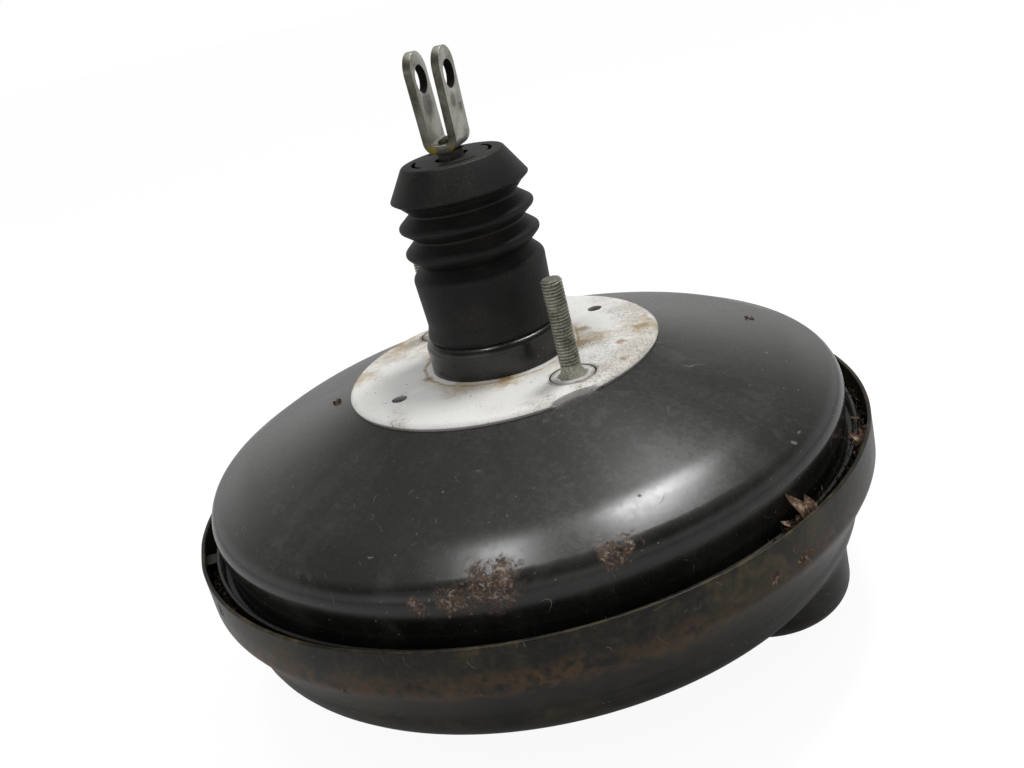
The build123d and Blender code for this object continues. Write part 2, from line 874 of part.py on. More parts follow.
# The clevis is one strap folded into a U, with its ears leaning slightly out.
ear_lean = (ear_top - tenon_top) * tan(radians(ear_splay))
strap_line = [
    (-clevis_gap / 2 - ear_lean, ear_top),
    (-clevis_gap / 2, tenon_top),
    (clevis_gap / 2, tenon_top),
    (clevis_gap / 2 + ear_lean, ear_top),
]
with BuildPart() as clevis:
    extrude(sheet_outline(strap_line, [bend_inner_r, bend_inner_r], strap_t), amount=strap_w / 2, both=True)
    with BuildSketch(Plane.YZ.offset(-strap_w)):
        with Locations((0, ear_top - strap_w / 2)):
            Circle(strap_w / 2)
        with Locations((0, clevis_bottom)):
            Rectangle(strap_w, ear_top - strap_w / 2 - clevis_bottom, align=(Align.CENTER, Align.MIN))
    extrude(amount=2 * strap_w, mode=Mode.INTERSECT)
    with BuildSketch(Plane.YZ.offset(-strap_w)):
        with Locations((0, pin_z)):
            Circle(pin_bore_r)
    extrude(amount=2 * strap_w, mode=Mode.SUBTRACT)
    with BuildSketch(Plane.XY.offset(clevis_bottom)):
        Circle(tenon_r + close_fit)
    extrude(amount=strap_t, mode=Mode.SUBTRACT)
    with BuildSketch(Plane.XY.offset(tenon_top)):
        SlotOverall(rivet_l + 2 * close_fit, rivet_w + 2 * close_fit, rotation=90)
    extrude(amount=bend_inner_r, mode=Mode.SUBTRACT)
save(clevis, "clevis")

# ---------------------------------------------------------------- boot and return spring
boot_foot = neck_h + air_gap
sleeve_bore = spigot_r + close_fit
cap_under = tail_top + air_gap
boot_top_z = cap_under + boot_top_t
boot_hub_bore = rod_r + air_gap + (boot_top_z - ball_z) * tilt_room
boot_flange_z = cap_under - boot_flange_drop
boot_shoulder_r = sleeve_bore + boot_shoulder_t
boot_shoulder_z = spigot_top + boot_shoulder_rise
legs = 2 * boot_fold_count + 1
boot_pitch = (boot_flange_z - boot_shoulder_z) / (legs + 1)
boot_folds = [
    (boot_peak_r if index % 2 else boot_valley_r, boot_shoulder_z + boot_pitch * (index + 1))
    for index in range(legs)
]
boot_outside = [
    (sleeve_bore + boot_foot_t, boot_foot),
    (sleeve_bore + boot_bulge_t, boot_foot + boot_wall),
    (sleeve_bore + boot_waist_t, boot_foot + boot_waist_rise),
    (boot_shoulder_r, boot_shoulder_z - boot_wall),
    (boot_shoulder_r - boot_wall, boot_shoulder_z),
    *boot_folds,
    (boot_flange_r, boot_flange_z),
    (boot_top_r, boot_top_z),
]
boot_inside = [
    (boot_hub_bore, boot_top_z),
    (boot_hub_bore, cap_under),
    (tail_r + air_gap, cap_under),
    (tail_r + air_gap, cap_under - boot_collar_drop),
    (boot_flange_r - 2 * boot_wall, boot_flange_z),
    *[(radius - boot_wall, height) for radius, height in reversed(boot_folds)],
    (sleeve_bore, spigot_top + boot_wall),
    (sleeve_bore, boot_foot + neck_corner),
    (sleeve_bore + neck_corner, boot_foot),
]
with BuildPart() as dust_boot:
    revolve(outline(boot_outside + boot_inside), axis=Axis.Z)
    with BuildSketch(Plane.XY.offset(cap_under)):
        for index in range(boot_slot_count):
            start = 360 / boot_slot_count * index
            SlotArc(CenterArc((0, 0), boot_slot_reach, start, boot_slot_sweep), boot_slot_w)
    extrude(amount=boot_top_z - cap_under, mode=Mode.SUBTRACT)
save(dust_boot, "dust_boot")

with BuildPart() as return_spring:
    add(coil(return_r, return_wire_r, front_plate_top + close_fit, hub_front - air_gap, return_turns))
save(return_spring, "return_spring")

# ---------------------------------------------------------------- vacuum port
face_in = face_z + sheet
stem_r = valve_stem_r + close_fit
grommet = [
    (stem_r, face_z - grommet_lip_h),
    (grommet_lip_r, face_z - grommet_lip_h),
    (grommet_lip_r, face_z),
    (grommet_hole_r - close_fit, face_z),
    (grommet_hole_r - close_fit, face_in),
    (grommet_lip_r, face_in),
    (grommet_hole_r, face_in + grommet_lip_h),
    (stem_r, face_in + grommet_lip_h),
]
with BuildPart() as one_grommet:
    revolve(outline(grommet), axis=Axis.Z)
with BuildPart() as vacuum_grommet:
    with Locations(port_place):
        add(one_grommet.part)
save(vacuum_grommet, "vacuum_grommet")

valve_top = face_z - grommet_lip_h
valve_bottom = valve_top - valve_body_h
valve_bore = valve_body_r - valve_wall
seat_z = valve_top - valve_wall
cap_top = valve_bottom + valve_wall
nozzle_z = (seat_z + cap_top) / 2
with BuildPart() as one_check_valve:
    revolve(
        outline([
            (nozzle_bore_r, face_in + valve_stem_top),
            (valve_stem_r, face_in + valve_stem_top),
            (valve_stem_r, valve_top),
            (valve_body_r, valve_top),
            (valve_body_r, cap_top),
            (valve_bore, cap_top),
            (valve_bore, seat_z),
            (nozzle_bore_r, seat_z),
        ]),
        axis=Axis.Z,
    )
    with BuildSketch(Plane.YZ.offset(valve_bore)):
        with Locations((0, nozzle_z)):
            Circle(nozzle_r)
    extrude(amount=nozzle_l - valve_bore)
    with BuildSketch(Plane.YZ.offset(nozzle_l - 2 * nozzle_bead_h)):
        with Locations((0, nozzle_z)):
            Circle(nozzle_bead_r)
    extrude(amount=nozzle_bead_h)
    with BuildSketch(Plane.YZ):
        with Locations((0, nozzle_z)):
            Circle(nozzle_bore_r)
    extrude(amount=nozzle_l, mode=Mode.SUBTRACT)
with BuildPart() as check_valve_body:
    with Locations(Location(port_place, (0, 0, port_angle))):
        add(one_check_valve.part)
save(check_valve_body, "check_valve_body")

with BuildPart() as check_valve_cap:
    with BuildSketch(Plane.XY.offset(valve_bottom)):
        with Locations(port_place):
            Circle(valve_body_r)
    extrude(amount=valve_wall)
save(check_valve_cap, "check_valve_cap")

check_disc_top = seat_z - air_gap
with BuildPart() as check_valve_disc:
    with BuildSketch(Plane.XY.offset(check_disc_top - check_disc_h)):
        with Locations(port_place):
            Circle(check_disc_r)
    extrude(amount=check_disc_h)
save(check_valve_disc, "check_valve_disc")

check_spring_r = check_disc_r - 2 * check_wire_r
one_check_spring = coil(
    check_spring_r, check_wire_r, cap_top + close_fit, check_disc_top - check_disc_h - air_gap, check_turns
)
with BuildPart() as check_valve_spring:
    with Locations(port_place):
        add(one_check_spring)
save(check_valve_spring, "check_valve_spring")
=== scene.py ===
"""The looks of a vacuum brake booster: housing, plate, studs, boot, clevis and their finishes."""
import logging
import math
from dataclasses import dataclass
from enum import Enum
from typing import Any, Sequence, Union

import bmesh
import bpy
from mathutils import Matrix, Vector


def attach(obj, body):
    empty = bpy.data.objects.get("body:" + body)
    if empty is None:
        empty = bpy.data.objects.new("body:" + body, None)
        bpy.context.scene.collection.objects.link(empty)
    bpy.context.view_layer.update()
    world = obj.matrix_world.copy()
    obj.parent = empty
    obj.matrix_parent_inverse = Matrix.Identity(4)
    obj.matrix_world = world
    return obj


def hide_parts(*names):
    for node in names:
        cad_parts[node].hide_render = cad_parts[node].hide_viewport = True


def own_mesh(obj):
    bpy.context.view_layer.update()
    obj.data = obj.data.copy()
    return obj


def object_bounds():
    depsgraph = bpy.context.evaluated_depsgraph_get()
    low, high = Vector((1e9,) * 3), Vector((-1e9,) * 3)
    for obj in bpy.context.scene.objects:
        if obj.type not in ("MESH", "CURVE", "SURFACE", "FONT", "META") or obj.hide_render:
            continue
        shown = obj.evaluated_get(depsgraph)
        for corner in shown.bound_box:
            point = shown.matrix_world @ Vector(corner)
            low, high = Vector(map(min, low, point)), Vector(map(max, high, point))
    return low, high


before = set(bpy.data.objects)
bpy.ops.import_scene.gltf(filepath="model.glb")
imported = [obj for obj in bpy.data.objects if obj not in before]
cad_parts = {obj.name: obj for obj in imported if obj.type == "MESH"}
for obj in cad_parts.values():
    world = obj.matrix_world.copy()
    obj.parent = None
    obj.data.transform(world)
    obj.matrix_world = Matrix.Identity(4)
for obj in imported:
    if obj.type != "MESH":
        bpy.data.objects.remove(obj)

MM = 0.001
CAD_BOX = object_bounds()
STUD_REACH = 49.5           # millimetres from the main axis to a firewall stud
STUD_ANGLE = -39.0          # degrees round it to the first one
WHITE = (1.0, 1.0, 1.0, 1.0)
AROUND = 256                # facets of a large turned piece
AROUND_SMALL = 96           # facets of a small one
SHARP = math.radians(38)    # edges that turn by more stay sharp
EDGE_BREAK = 1.8            # how far noise moves a patch's edge, in radii
log = logging.getLogger("booster")

Point = tuple[float, float]
Colour = tuple[float, float, float]
Place = tuple[float, float, float]


# ---------------------------------------------------------------- shader and geometry trees
class Wire:
    """A number socket whose arithmetic adds Math nodes."""

    def __init__(self, sheet: "Sheet", socket: bpy.types.NodeSocket) -> None:
        """Wrap a socket of a sheet."""
        self.sheet = sheet
        self.socket = socket

    def _with(self, operation: str, *others: Union["Wire", float], first: float | None = None) -> "Wire":
        """Add one Math node.

        Args:
            operation: The node's operation.
            others: Its further inputs.
            first: A number that goes before this wire.

        Returns:
            The result.
        """
        values = [self, *others] if first is None else [first, self]
        return self.sheet.wire("ShaderNodeMath", {"operation": operation}, dict(enumerate(values)))

    def __add__(self, other: Union["Wire", float]) -> "Wire":
        """Sum."""
        return self._with("ADD", other)

    __radd__ = __add__

    def __mul__(self, other: Union["Wire", float]) -> "Wire":
        """Product."""
        return self._with("MULTIPLY", other)

    __rmul__ = __mul__

    def __sub__(self, other: Union["Wire", float]) -> "Wire":
        """Difference."""
        return self._with("SUBTRACT", other)

    def __rsub__(self, other: float) -> "Wire":
        """Difference from a number."""
        return self._with("SUBTRACT", first=other)

    def __truediv__(self, other: Union["Wire", float]) -> "Wire":
        """Quotient."""
        return self._with("DIVIDE", other)

    def __pow__(self, other: float) -> "Wire":
        """Power."""
        return self._with("POWER", other)

    def call(self, operation: str, *others: Union["Wire", float]) -> "Wire":
        """Apply a named Math operation."""
        return self._with(operation, *others)

    def clamped(self) -> "Wire":
        """Held between 0 and 1."""
        return self.call("MAXIMUM", 0.0).call("MINIMUM", 1.0)

    def step(self, low: float, high: float) -> "Wire":
        """A smooth step from 0 at low to 1 at high.

        Args:
            low: Where it is 0.
            high: Where it is 1, which may be under low.

        Returns:
            The step.
        """
        sockets = {"Value": self, "From Min": min(low, high), "From Max": max(low, high)}
        rising = self.sheet.wire("ShaderNodeMapRange", {"interpolation_type": "SMOOTHSTEP"}, sockets)
        return rising if low < high else 1.0 - rising


Value = Union[Wire, float, int, bool, Sequence[float], bpy.types.NodeSocket, bpy.types.Material]


class Sheet:
    """A node tree that is being written."""

    def __init__(self, tree: bpy.types.NodeTree) -> None:
        """Start with an empty tree."""
        self.tree = tree
        tree.nodes.clear()

    def node(self, kind: str, settings: dict[str, Any] | None = None,
             sockets: dict[Any, Value] | None = None) -> bpy.types.Node:
        """Add a node.

        Args:
            kind: The node's type.
            settings: Its properties, which are set first.
            sockets: Values or links of its inputs, by name or number.

        Returns:
            The node.
        """
        made = self.tree.nodes.new(kind)
        for key, value in (settings or {}).items():
            setattr(made, key, value)
        for key, value in (sockets or {}).items():
            socket = value.socket if isinstance(value, Wire) else value
            if isinstance(socket, bpy.types.NodeSocket):
                self.tree.links.new(socket, made.inputs[key])
            else:
                made.inputs[key].default_value = socket
        return made

    def wire(self, kind: str, settings: dict[str, Any] | None = None,
             sockets: dict[Any, Value] | None = None, output: Any = 0) -> Wire:
        """Add a node and wrap one of its outputs."""
        return Wire(self, self.node(kind, settings, sockets).outputs[output])

    def split(self, vector: bpy.types.NodeSocket) -> tuple[Wire, Wire, Wire]:
        """The three parts of a vector."""
        outputs = self.node("ShaderNodeSeparateXYZ", None, {0: vector}).outputs
        return Wire(self, outputs[0]), Wire(self, outputs[1]), Wire(self, outputs[2])

    def join(self, x: Value, y: Value, z: Value) -> bpy.types.NodeSocket:
        """A vector from three numbers."""
        return self.node("ShaderNodeCombineXYZ", None, {0: x, 1: y, 2: z}).outputs[0]


class Paint(Sheet):
    """The node tree of one material, on Object coordinates."""

    def __init__(self, name: str) -> None:
        """Start a material.

        Args:
            name: The material's name.
        """
        self.material = bpy.data.materials.new(name)
        self.material.use_nodes = True
        super().__init__(self.material.node_tree)
        coordinates = self.node("ShaderNodeTexCoord")
        self.place = coordinates.outputs["Object"]
        self.facing = self.split(coordinates.outputs["Normal"])

    def noise(self, size: float, detail: float = 3.0, warp: float = 0.0,
              where: bpy.types.NodeSocket | None = None) -> Wire:
        """Cloudy noise.

        Args:
            size: The size of its clouds in millimetres.
            detail: Octaves of finer noise.
            warp: How far the clouds are pulled about.
            where: The coordinates, the object's own if none are given.

        Returns:
            Noise from 0 to 1.
        """
        sockets = {
            "Vector": where or self.place, "Scale": 1 / (size * MM), "Detail": detail, "Distortion": warp,
        }
        return self.wire("ShaderNodeTexNoise", None, sockets)

    def specks(self, spacing: float, size: float) -> Wire:
        """Small round specks.

        Args:
            spacing: Mean distance between them in millimetres.
            size: Their share of that distance.

        Returns:
            1 in a speck, 0 outside.
        """
        sockets = {"Vector": self.place, "Scale": 1 / (spacing * MM)}
        return self.wire("ShaderNodeTexVoronoi", None, sockets).step(size, size * 0.6)

    def distance(self, where: bpy.types.NodeSocket, centre: Place) -> Wire:
        """Distance in metres from a point that is given in millimetres."""
        metres = [value * MM for value in centre]
        return self.wire("ShaderNodeVectorMath", {"operation": "DISTANCE"}, {0: where, 1: metres}, "Value")

    def spot(self, middle: Place, reach: float, ragged: Wire, soft: float = 0.28) -> Wire:
        """A ragged round patch.

        Args:
            middle: Its middle in millimetres.
            reach: Its radius in millimetres.
            ragged: Noise that breaks its edge.
            soft: The share of its radius over which it fades.

        Returns:
            1 in the patch, 0 outside.
        """
        reached = self.distance(self.place, middle) / (reach * MM) + (ragged - 0.5) * EDGE_BREAK
        return reached.step(1.0, 1.0 - soft)

    def mix(self, mask: Value, low: Value, high: Value) -> bpy.types.NodeSocket:
        """Blend two colours by a mask."""
        sockets = {"Factor": mask, 6: self._colour(low), 7: self._colour(high)}
        return self.node("ShaderNodeMix", {"data_type": "RGBA"}, sockets).outputs[2]

    @staticmethod
    def _colour(value: Value) -> Value:
        """A colour with its alpha, or the socket as it is."""
        return value if isinstance(value, bpy.types.NodeSocket) else (*value, 1.0)

    def finish(self, colour: Value, roughness: Value, metallic: float = 0.0,
               relief: Wire | None = None, depth: float = 0.1, shine: float = 0.5) -> bpy.types.Material:
        """Close the tree with a surface shader.

        Args:
            colour: Base colour.
            roughness: Roughness.
            metallic: Metallic share.
            relief: Height of the bump, from 0 to 1.
            depth: What a height of 1 stands for in millimetres.
            shine: Specular level, the same all over.

        Returns:
            The material.
        """
        sockets: dict[Any, Value] = {
            "Base Color": self._colour(colour), "Roughness": roughness, "Metallic": metallic,
            "Specular IOR Level": shine,
        }
        if relief is not None:
            bump = self.node("ShaderNodeBump", None, {"Height": relief, "Distance": depth * MM})
            sockets["Normal"] = bump.outputs[0]
        surface = self.node("ShaderNodeBsdfPrincipled", None, sockets)
        self.node("ShaderNodeOutputMaterial", None, {"Surface": surface.outputs[0]})
        return self.material


class Growth(Sheet):
    """A Geometry Nodes tree with named inputs that makes one piece."""

    def __init__(self, name: str) -> None:
        """Start a tree with a geometry output.

        Args:
            name: The tree's name.
        """
        tree = bpy.data.node_groups.new(name, "GeometryNodeTree")
        super().__init__(tree)
        tree.interface.new_socket("Geometry", in_out="OUTPUT", socket_type="NodeSocketGeometry")
        self.values: dict[str, Any] = {}
        self.gate = self.node("NodeGroupInput")

    def size(self, name: str, value: Any, kind: str = "Float") -> Wire:
        """Declare an input.

        Args:
            name: Its name.
            value: Its value on the modifier.
            kind: Float, Int or Material.

        Returns:
            The input's wire.
        """
        socket = self.tree.interface.new_socket(name, in_out="INPUT", socket_type="NodeSocket" + kind)
        self.values[socket.identifier] = value
        return Wire(self, self.gate.outputs[name])

    def realise(self, geometry: bpy.types.NodeSocket, finish: Wire, name: str) -> bpy.types.Object:
        """End the tree and turn its result into a plain mesh.

        Args:
            geometry: What the tree has made.
            finish: The wire of the material input.
            name: The piece's name.

        Returns:
            The piece.
        """
        real = self.node("GeometryNodeRealizeInstances", None, {0: geometry})
        sockets = {"Geometry": real.outputs[0], "Material": finish}
        dressed = self.node("GeometryNodeSetMaterial", None, sockets)
        self.node("NodeGroupOutput", None, {0: dressed.outputs[0]})
        piece = put(name, bpy.data.meshes.new(name))
        modifier = piece.modifiers.new("growth", "NODES")
        modifier.node_group = self.tree
        for identifier, value in self.values.items():
            modifier[identifier] = value
        freeze(piece)
        return piece


# ---------------------------------------------------------------- outlines and meshes
def rounded(points: Sequence[Point], radii: Sequence[float], steps: int = 8) -> list[Point]:
    """Round the inner corners of an open line.

    Args:
        points: The line's corners.
        radii: One radius for each inner corner.
        steps: Pieces in each arc.

    Returns:
        The line with arcs.
    """
    line = [points[0]]
    for before, corner, after, radius in zip(points, points[1:], points[2:], radii):
        middle = Vector(corner)
        back = (Vector(before) - middle).normalized()
        ahead = (Vector(after) - middle).normalized()
        half = back.angle(ahead) / 2
        centre = middle + (back + ahead).normalized() * radius / math.sin(half)
        start = middle + back * radius / math.tan(half) - centre
        end = middle + ahead * radius / math.tan(half) - centre
        line += [tuple(centre + start.slerp(end, index / steps) * radius) for index in range(steps + 1)]
    return line + [points[-1]]


def beside(points: Sequence[Point], gap: float) -> list[Point]:
    """An open line moved sideways.

    Args:
        points: The line's corners.
        gap: How far it moves, to the left of its direction.

    Returns:
        The moved line.
    """
    moved = []
    for index, point in enumerate(points):
        here = Vector(point)
        back = here - Vector(points[index - 1]) if index else Vector(points[1]) - here
        ahead = Vector(points[index + 1]) - here if index + 1 < len(points) else back
        side = (back.orthogonal().normalized() + ahead.orthogonal().normalized()).normalized()
        moved.append(tuple(here + side * gap / side.dot(back.orthogonal().normalized())))
    return moved


def pressed(points: Sequence[Point], bends: Sequence[float], thickness: float) -> list[Point]:
    """The closed section of a bent sheet.

    Args:
        points: The corners of one face, with the metal on the right of the line.
        bends: Inside radii of the corners.
        thickness: The sheet's thickness.

    Returns:
        The section's outline.
    """
    near_bends = []
    far_bends = []
    for before, corner, after, bend in zip(points, points[1:], points[2:], bends):
        left = Vector(corner) - Vector(before)
        turns_left = left.orthogonal().dot(Vector(after) - Vector(corner)) > 0
        near_bends.append(bend if turns_left else bend + thickness)
        far_bends.append(bend + thickness if turns_left else bend)
    return rounded(points, near_bends) + rounded(beside(points, -thickness), far_bends)[::-1]


def soften(loop: Sequence[Point], radius: float) -> list[Point]:
    """Round the square corners of a closed outline.

    Args:
        loop: The outline.
        radius: The radius of the new corners.

    Returns:
        The outline with small arcs.
    """
    result: list[Point] = []
    for index, corner in enumerate(loop):
        before = Vector(loop[index - 1]) - Vector(corner)
        after = Vector(loop[(index + 1) % len(loop)]) - Vector(corner)
        room = min(before.length, after.length) * 0.45
        if min(before.length, after.length) < 1e-6 or before.angle(after) > math.radians(130):
            result.append(corner)
            continue
        ends = [tuple(Vector(corner) + before), corner, tuple(Vector(corner) + after)]
        reach = min(radius, room * math.tan(before.angle(after) / 2))
        result += rounded(ends, [reach], 4)[1:-1]
    return result


def put(name: str, data: bpy.types.ID) -> bpy.types.Object:
    """Put a mesh, lamp or camera into the scene.

    Args:
        name: The object's name.
        data: What it holds.

    Returns:
        The object.
    """
    thing = bpy.data.objects.new(name, data)
    bpy.context.scene.collection.objects.link(thing)
    return thing


def mesh_piece(name: str, vertices: Sequence[Any], faces: Sequence[Sequence[int]]) -> bpy.types.Object:
    """A closed, smooth object from vertices in millimetres.

    Args:
        name: The piece's name.
        vertices: Corner places.
        faces: Corner numbers of each face.

    Returns:
        The piece.
    """
    mesh = bpy.data.meshes.new(name)
    mesh.from_pydata([Vector(vertex) * MM for vertex in vertices], [], faces)
    piece = put(name, mesh)
    tidy(piece)
    return piece


def tidy(piece: bpy.types.Object) -> None:
    """Merge a piece's doubles, turn its faces outwards and shade it smooth with sharp edges.

    Args:
        piece: The piece.
    """
    work = bmesh.new()
    work.from_mesh(piece.data)
    bmesh.ops.remove_doubles(work, verts=work.verts, dist=0.002 * MM)
    bmesh.ops.dissolve_degenerate(work, dist=0.001 * MM, edges=work.edges)
    bmesh.ops.recalc_face_normals(work, faces=work.faces)
    work.to_mesh(piece.data)
    work.free()
    piece.data.shade_smooth()
    piece.data.set_sharp_from_angle(angle=SHARP)


def lattice(rows: int, size: int, joined_rows: bool, joined_points: bool) -> list[tuple[int, ...]]:
    """Faces between neighbouring rows of points.

    Args:
        rows: How many rows there are.
        size: Points in each row.
        joined_rows: Whether the last row meets the first.
        joined_points: Whether each row is a closed loop.

    Returns:
        Corner numbers of each face.
    """
    faces: list[tuple[int, ...]] = []
    for row in range(rows if joined_rows else rows - 1):
        here = row * size
        there = (row + 1) % rows * size
        for index in range(size if joined_points else size - 1):
            after = (index + 1) % size
            faces.append((here + index, there + index, there + after, here + after))
    return faces


def solid_between(name: str, near: Sequence[Place], far: Sequence[Place]) -> bpy.types.Object:
    """A solid between two outlines that have as many points.

    Args:
        name: The piece's name.
        near: One end's outline in millimetres.
        far: The other end's.

    Returns:
        The piece.
    """
    size = len(near)
    ends = [tuple(range(size)), tuple(range(size, 2 * size))]
    return mesh_piece(name, [*near, *far], ends + lattice(2, size, False, True))


def bar(radius: float, low: float, high: float, slant: float = 0.0) -> list[Point]:
    """Half the section of a round bar on the axis, wider by the slant for each millimetre up."""
    return [(0.0, low), (radius + slant * low, low), (radius + slant * high, high), (0.0, high)]


def turned(name: str, loop: Sequence[Point], around: int = AROUND, middle: Point = (0.0, 0.0),
           sweep: tuple[float, float] | None = None) -> bpy.types.Object:
    """Turn a closed outline about a vertical axis.

    Args:
        name: The piece's name.
        loop: Outline as (radius, height) points.
        around: Facets of a full turn.
        middle: Where the axis stands.
        sweep: First and last angle in degrees, or none for a full turn.

    Returns:
        The piece.
    """
    start, end = sweep or (0.0, 360.0)
    rows = max(2, round(around * (end - start) / 360)) + (1 if sweep else 0)
    span = rows - 1 if sweep else rows
    vertices = []
    for row in range(rows):
        angle = math.radians(start + (end - start) * row / span)
        vertices += [(middle[0] + r * math.cos(angle), middle[1] + r * math.sin(angle), z) for r, z in loop]
    size = len(loop)
    faces = lattice(rows, size, sweep is None, True)
    if sweep:
        faces.append(tuple(range(size)))
        faces.append(tuple(range((rows - 1) * size, rows * size)))
    return mesh_piece(name, vertices, faces)


def freeze(piece: bpy.types.Object) -> None:
    """Replace a piece's mesh by what its modifiers make of it.

    Args:
        piece: The piece.
    """
    graph = bpy.context.evaluated_depsgraph_get()
    mesh = bpy.data.meshes.new_from_object(piece.evaluated_get(graph))
    piece.modifiers.clear()
    piece.data = mesh


def carve(piece: bpy.types.Object, tool: bpy.types.Object, operation: str = "DIFFERENCE") -> None:
    """Cut one piece by another, which is used up.

    Args:
        piece: What is cut.
        tool: What cuts it.
        operation: DIFFERENCE, INTERSECT or UNION.
    """
    modifier = piece.modifiers.new("carve", "BOOLEAN")
    modifier.object = tool
    modifier.operation = operation
    modifier.solver = "EXACT"
    freeze(piece)
    bpy.data.objects.remove(tool)
    tidy(piece)


def bevel(piece: bpy.types.Object, width: float, steps: int = 2) -> None:
    """Round a piece's sharp edges.

    Args:
        piece: The piece.
        width: The width of the rounding in millimetres.
        steps: Facets across it.
    """
    modifier = piece.modifiers.new("bevel", "BEVEL")
    modifier.width = width * MM
    modifier.segments = steps
    modifier.angle_limit = SHARP
    modifier.harden_normals = False
    freeze(piece)
    tidy(piece)


def polar(reach: float, angle: float, height: float = 0.0) -> Place:
    """A point at a distance and an angle in degrees from the main axis."""
    return (reach * math.cos(math.radians(angle)), reach * math.sin(math.radians(angle)), height)


def place_on(piece: bpy.types.Object, body: str, nodes: Sequence[str],
             finish: bpy.types.Material | None) -> None:
    """Give a piece its finish, its body and the CAD nodes that it stands for.

    Args:
        piece: The piece.
        body: The CAD body that it rides on.
        nodes: CAD nodes that it replaces.
        finish: Its material, or none if it has one.
    """
    if finish:
        piece.data.materials.clear()
        piece.data.materials.append(finish)
    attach(piece, body)
    if nodes:
        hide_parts(*nodes)
    log.info("%s: %d vertices on %s", piece.name, len(piece.data.vertices), body)


# ---------------------------------------------------------------- finishes
@dataclass(frozen=True)
class Patch:
    """A stain or a patch of rust: its middle and radius in millimetres."""

    middle: Place
    reach: float


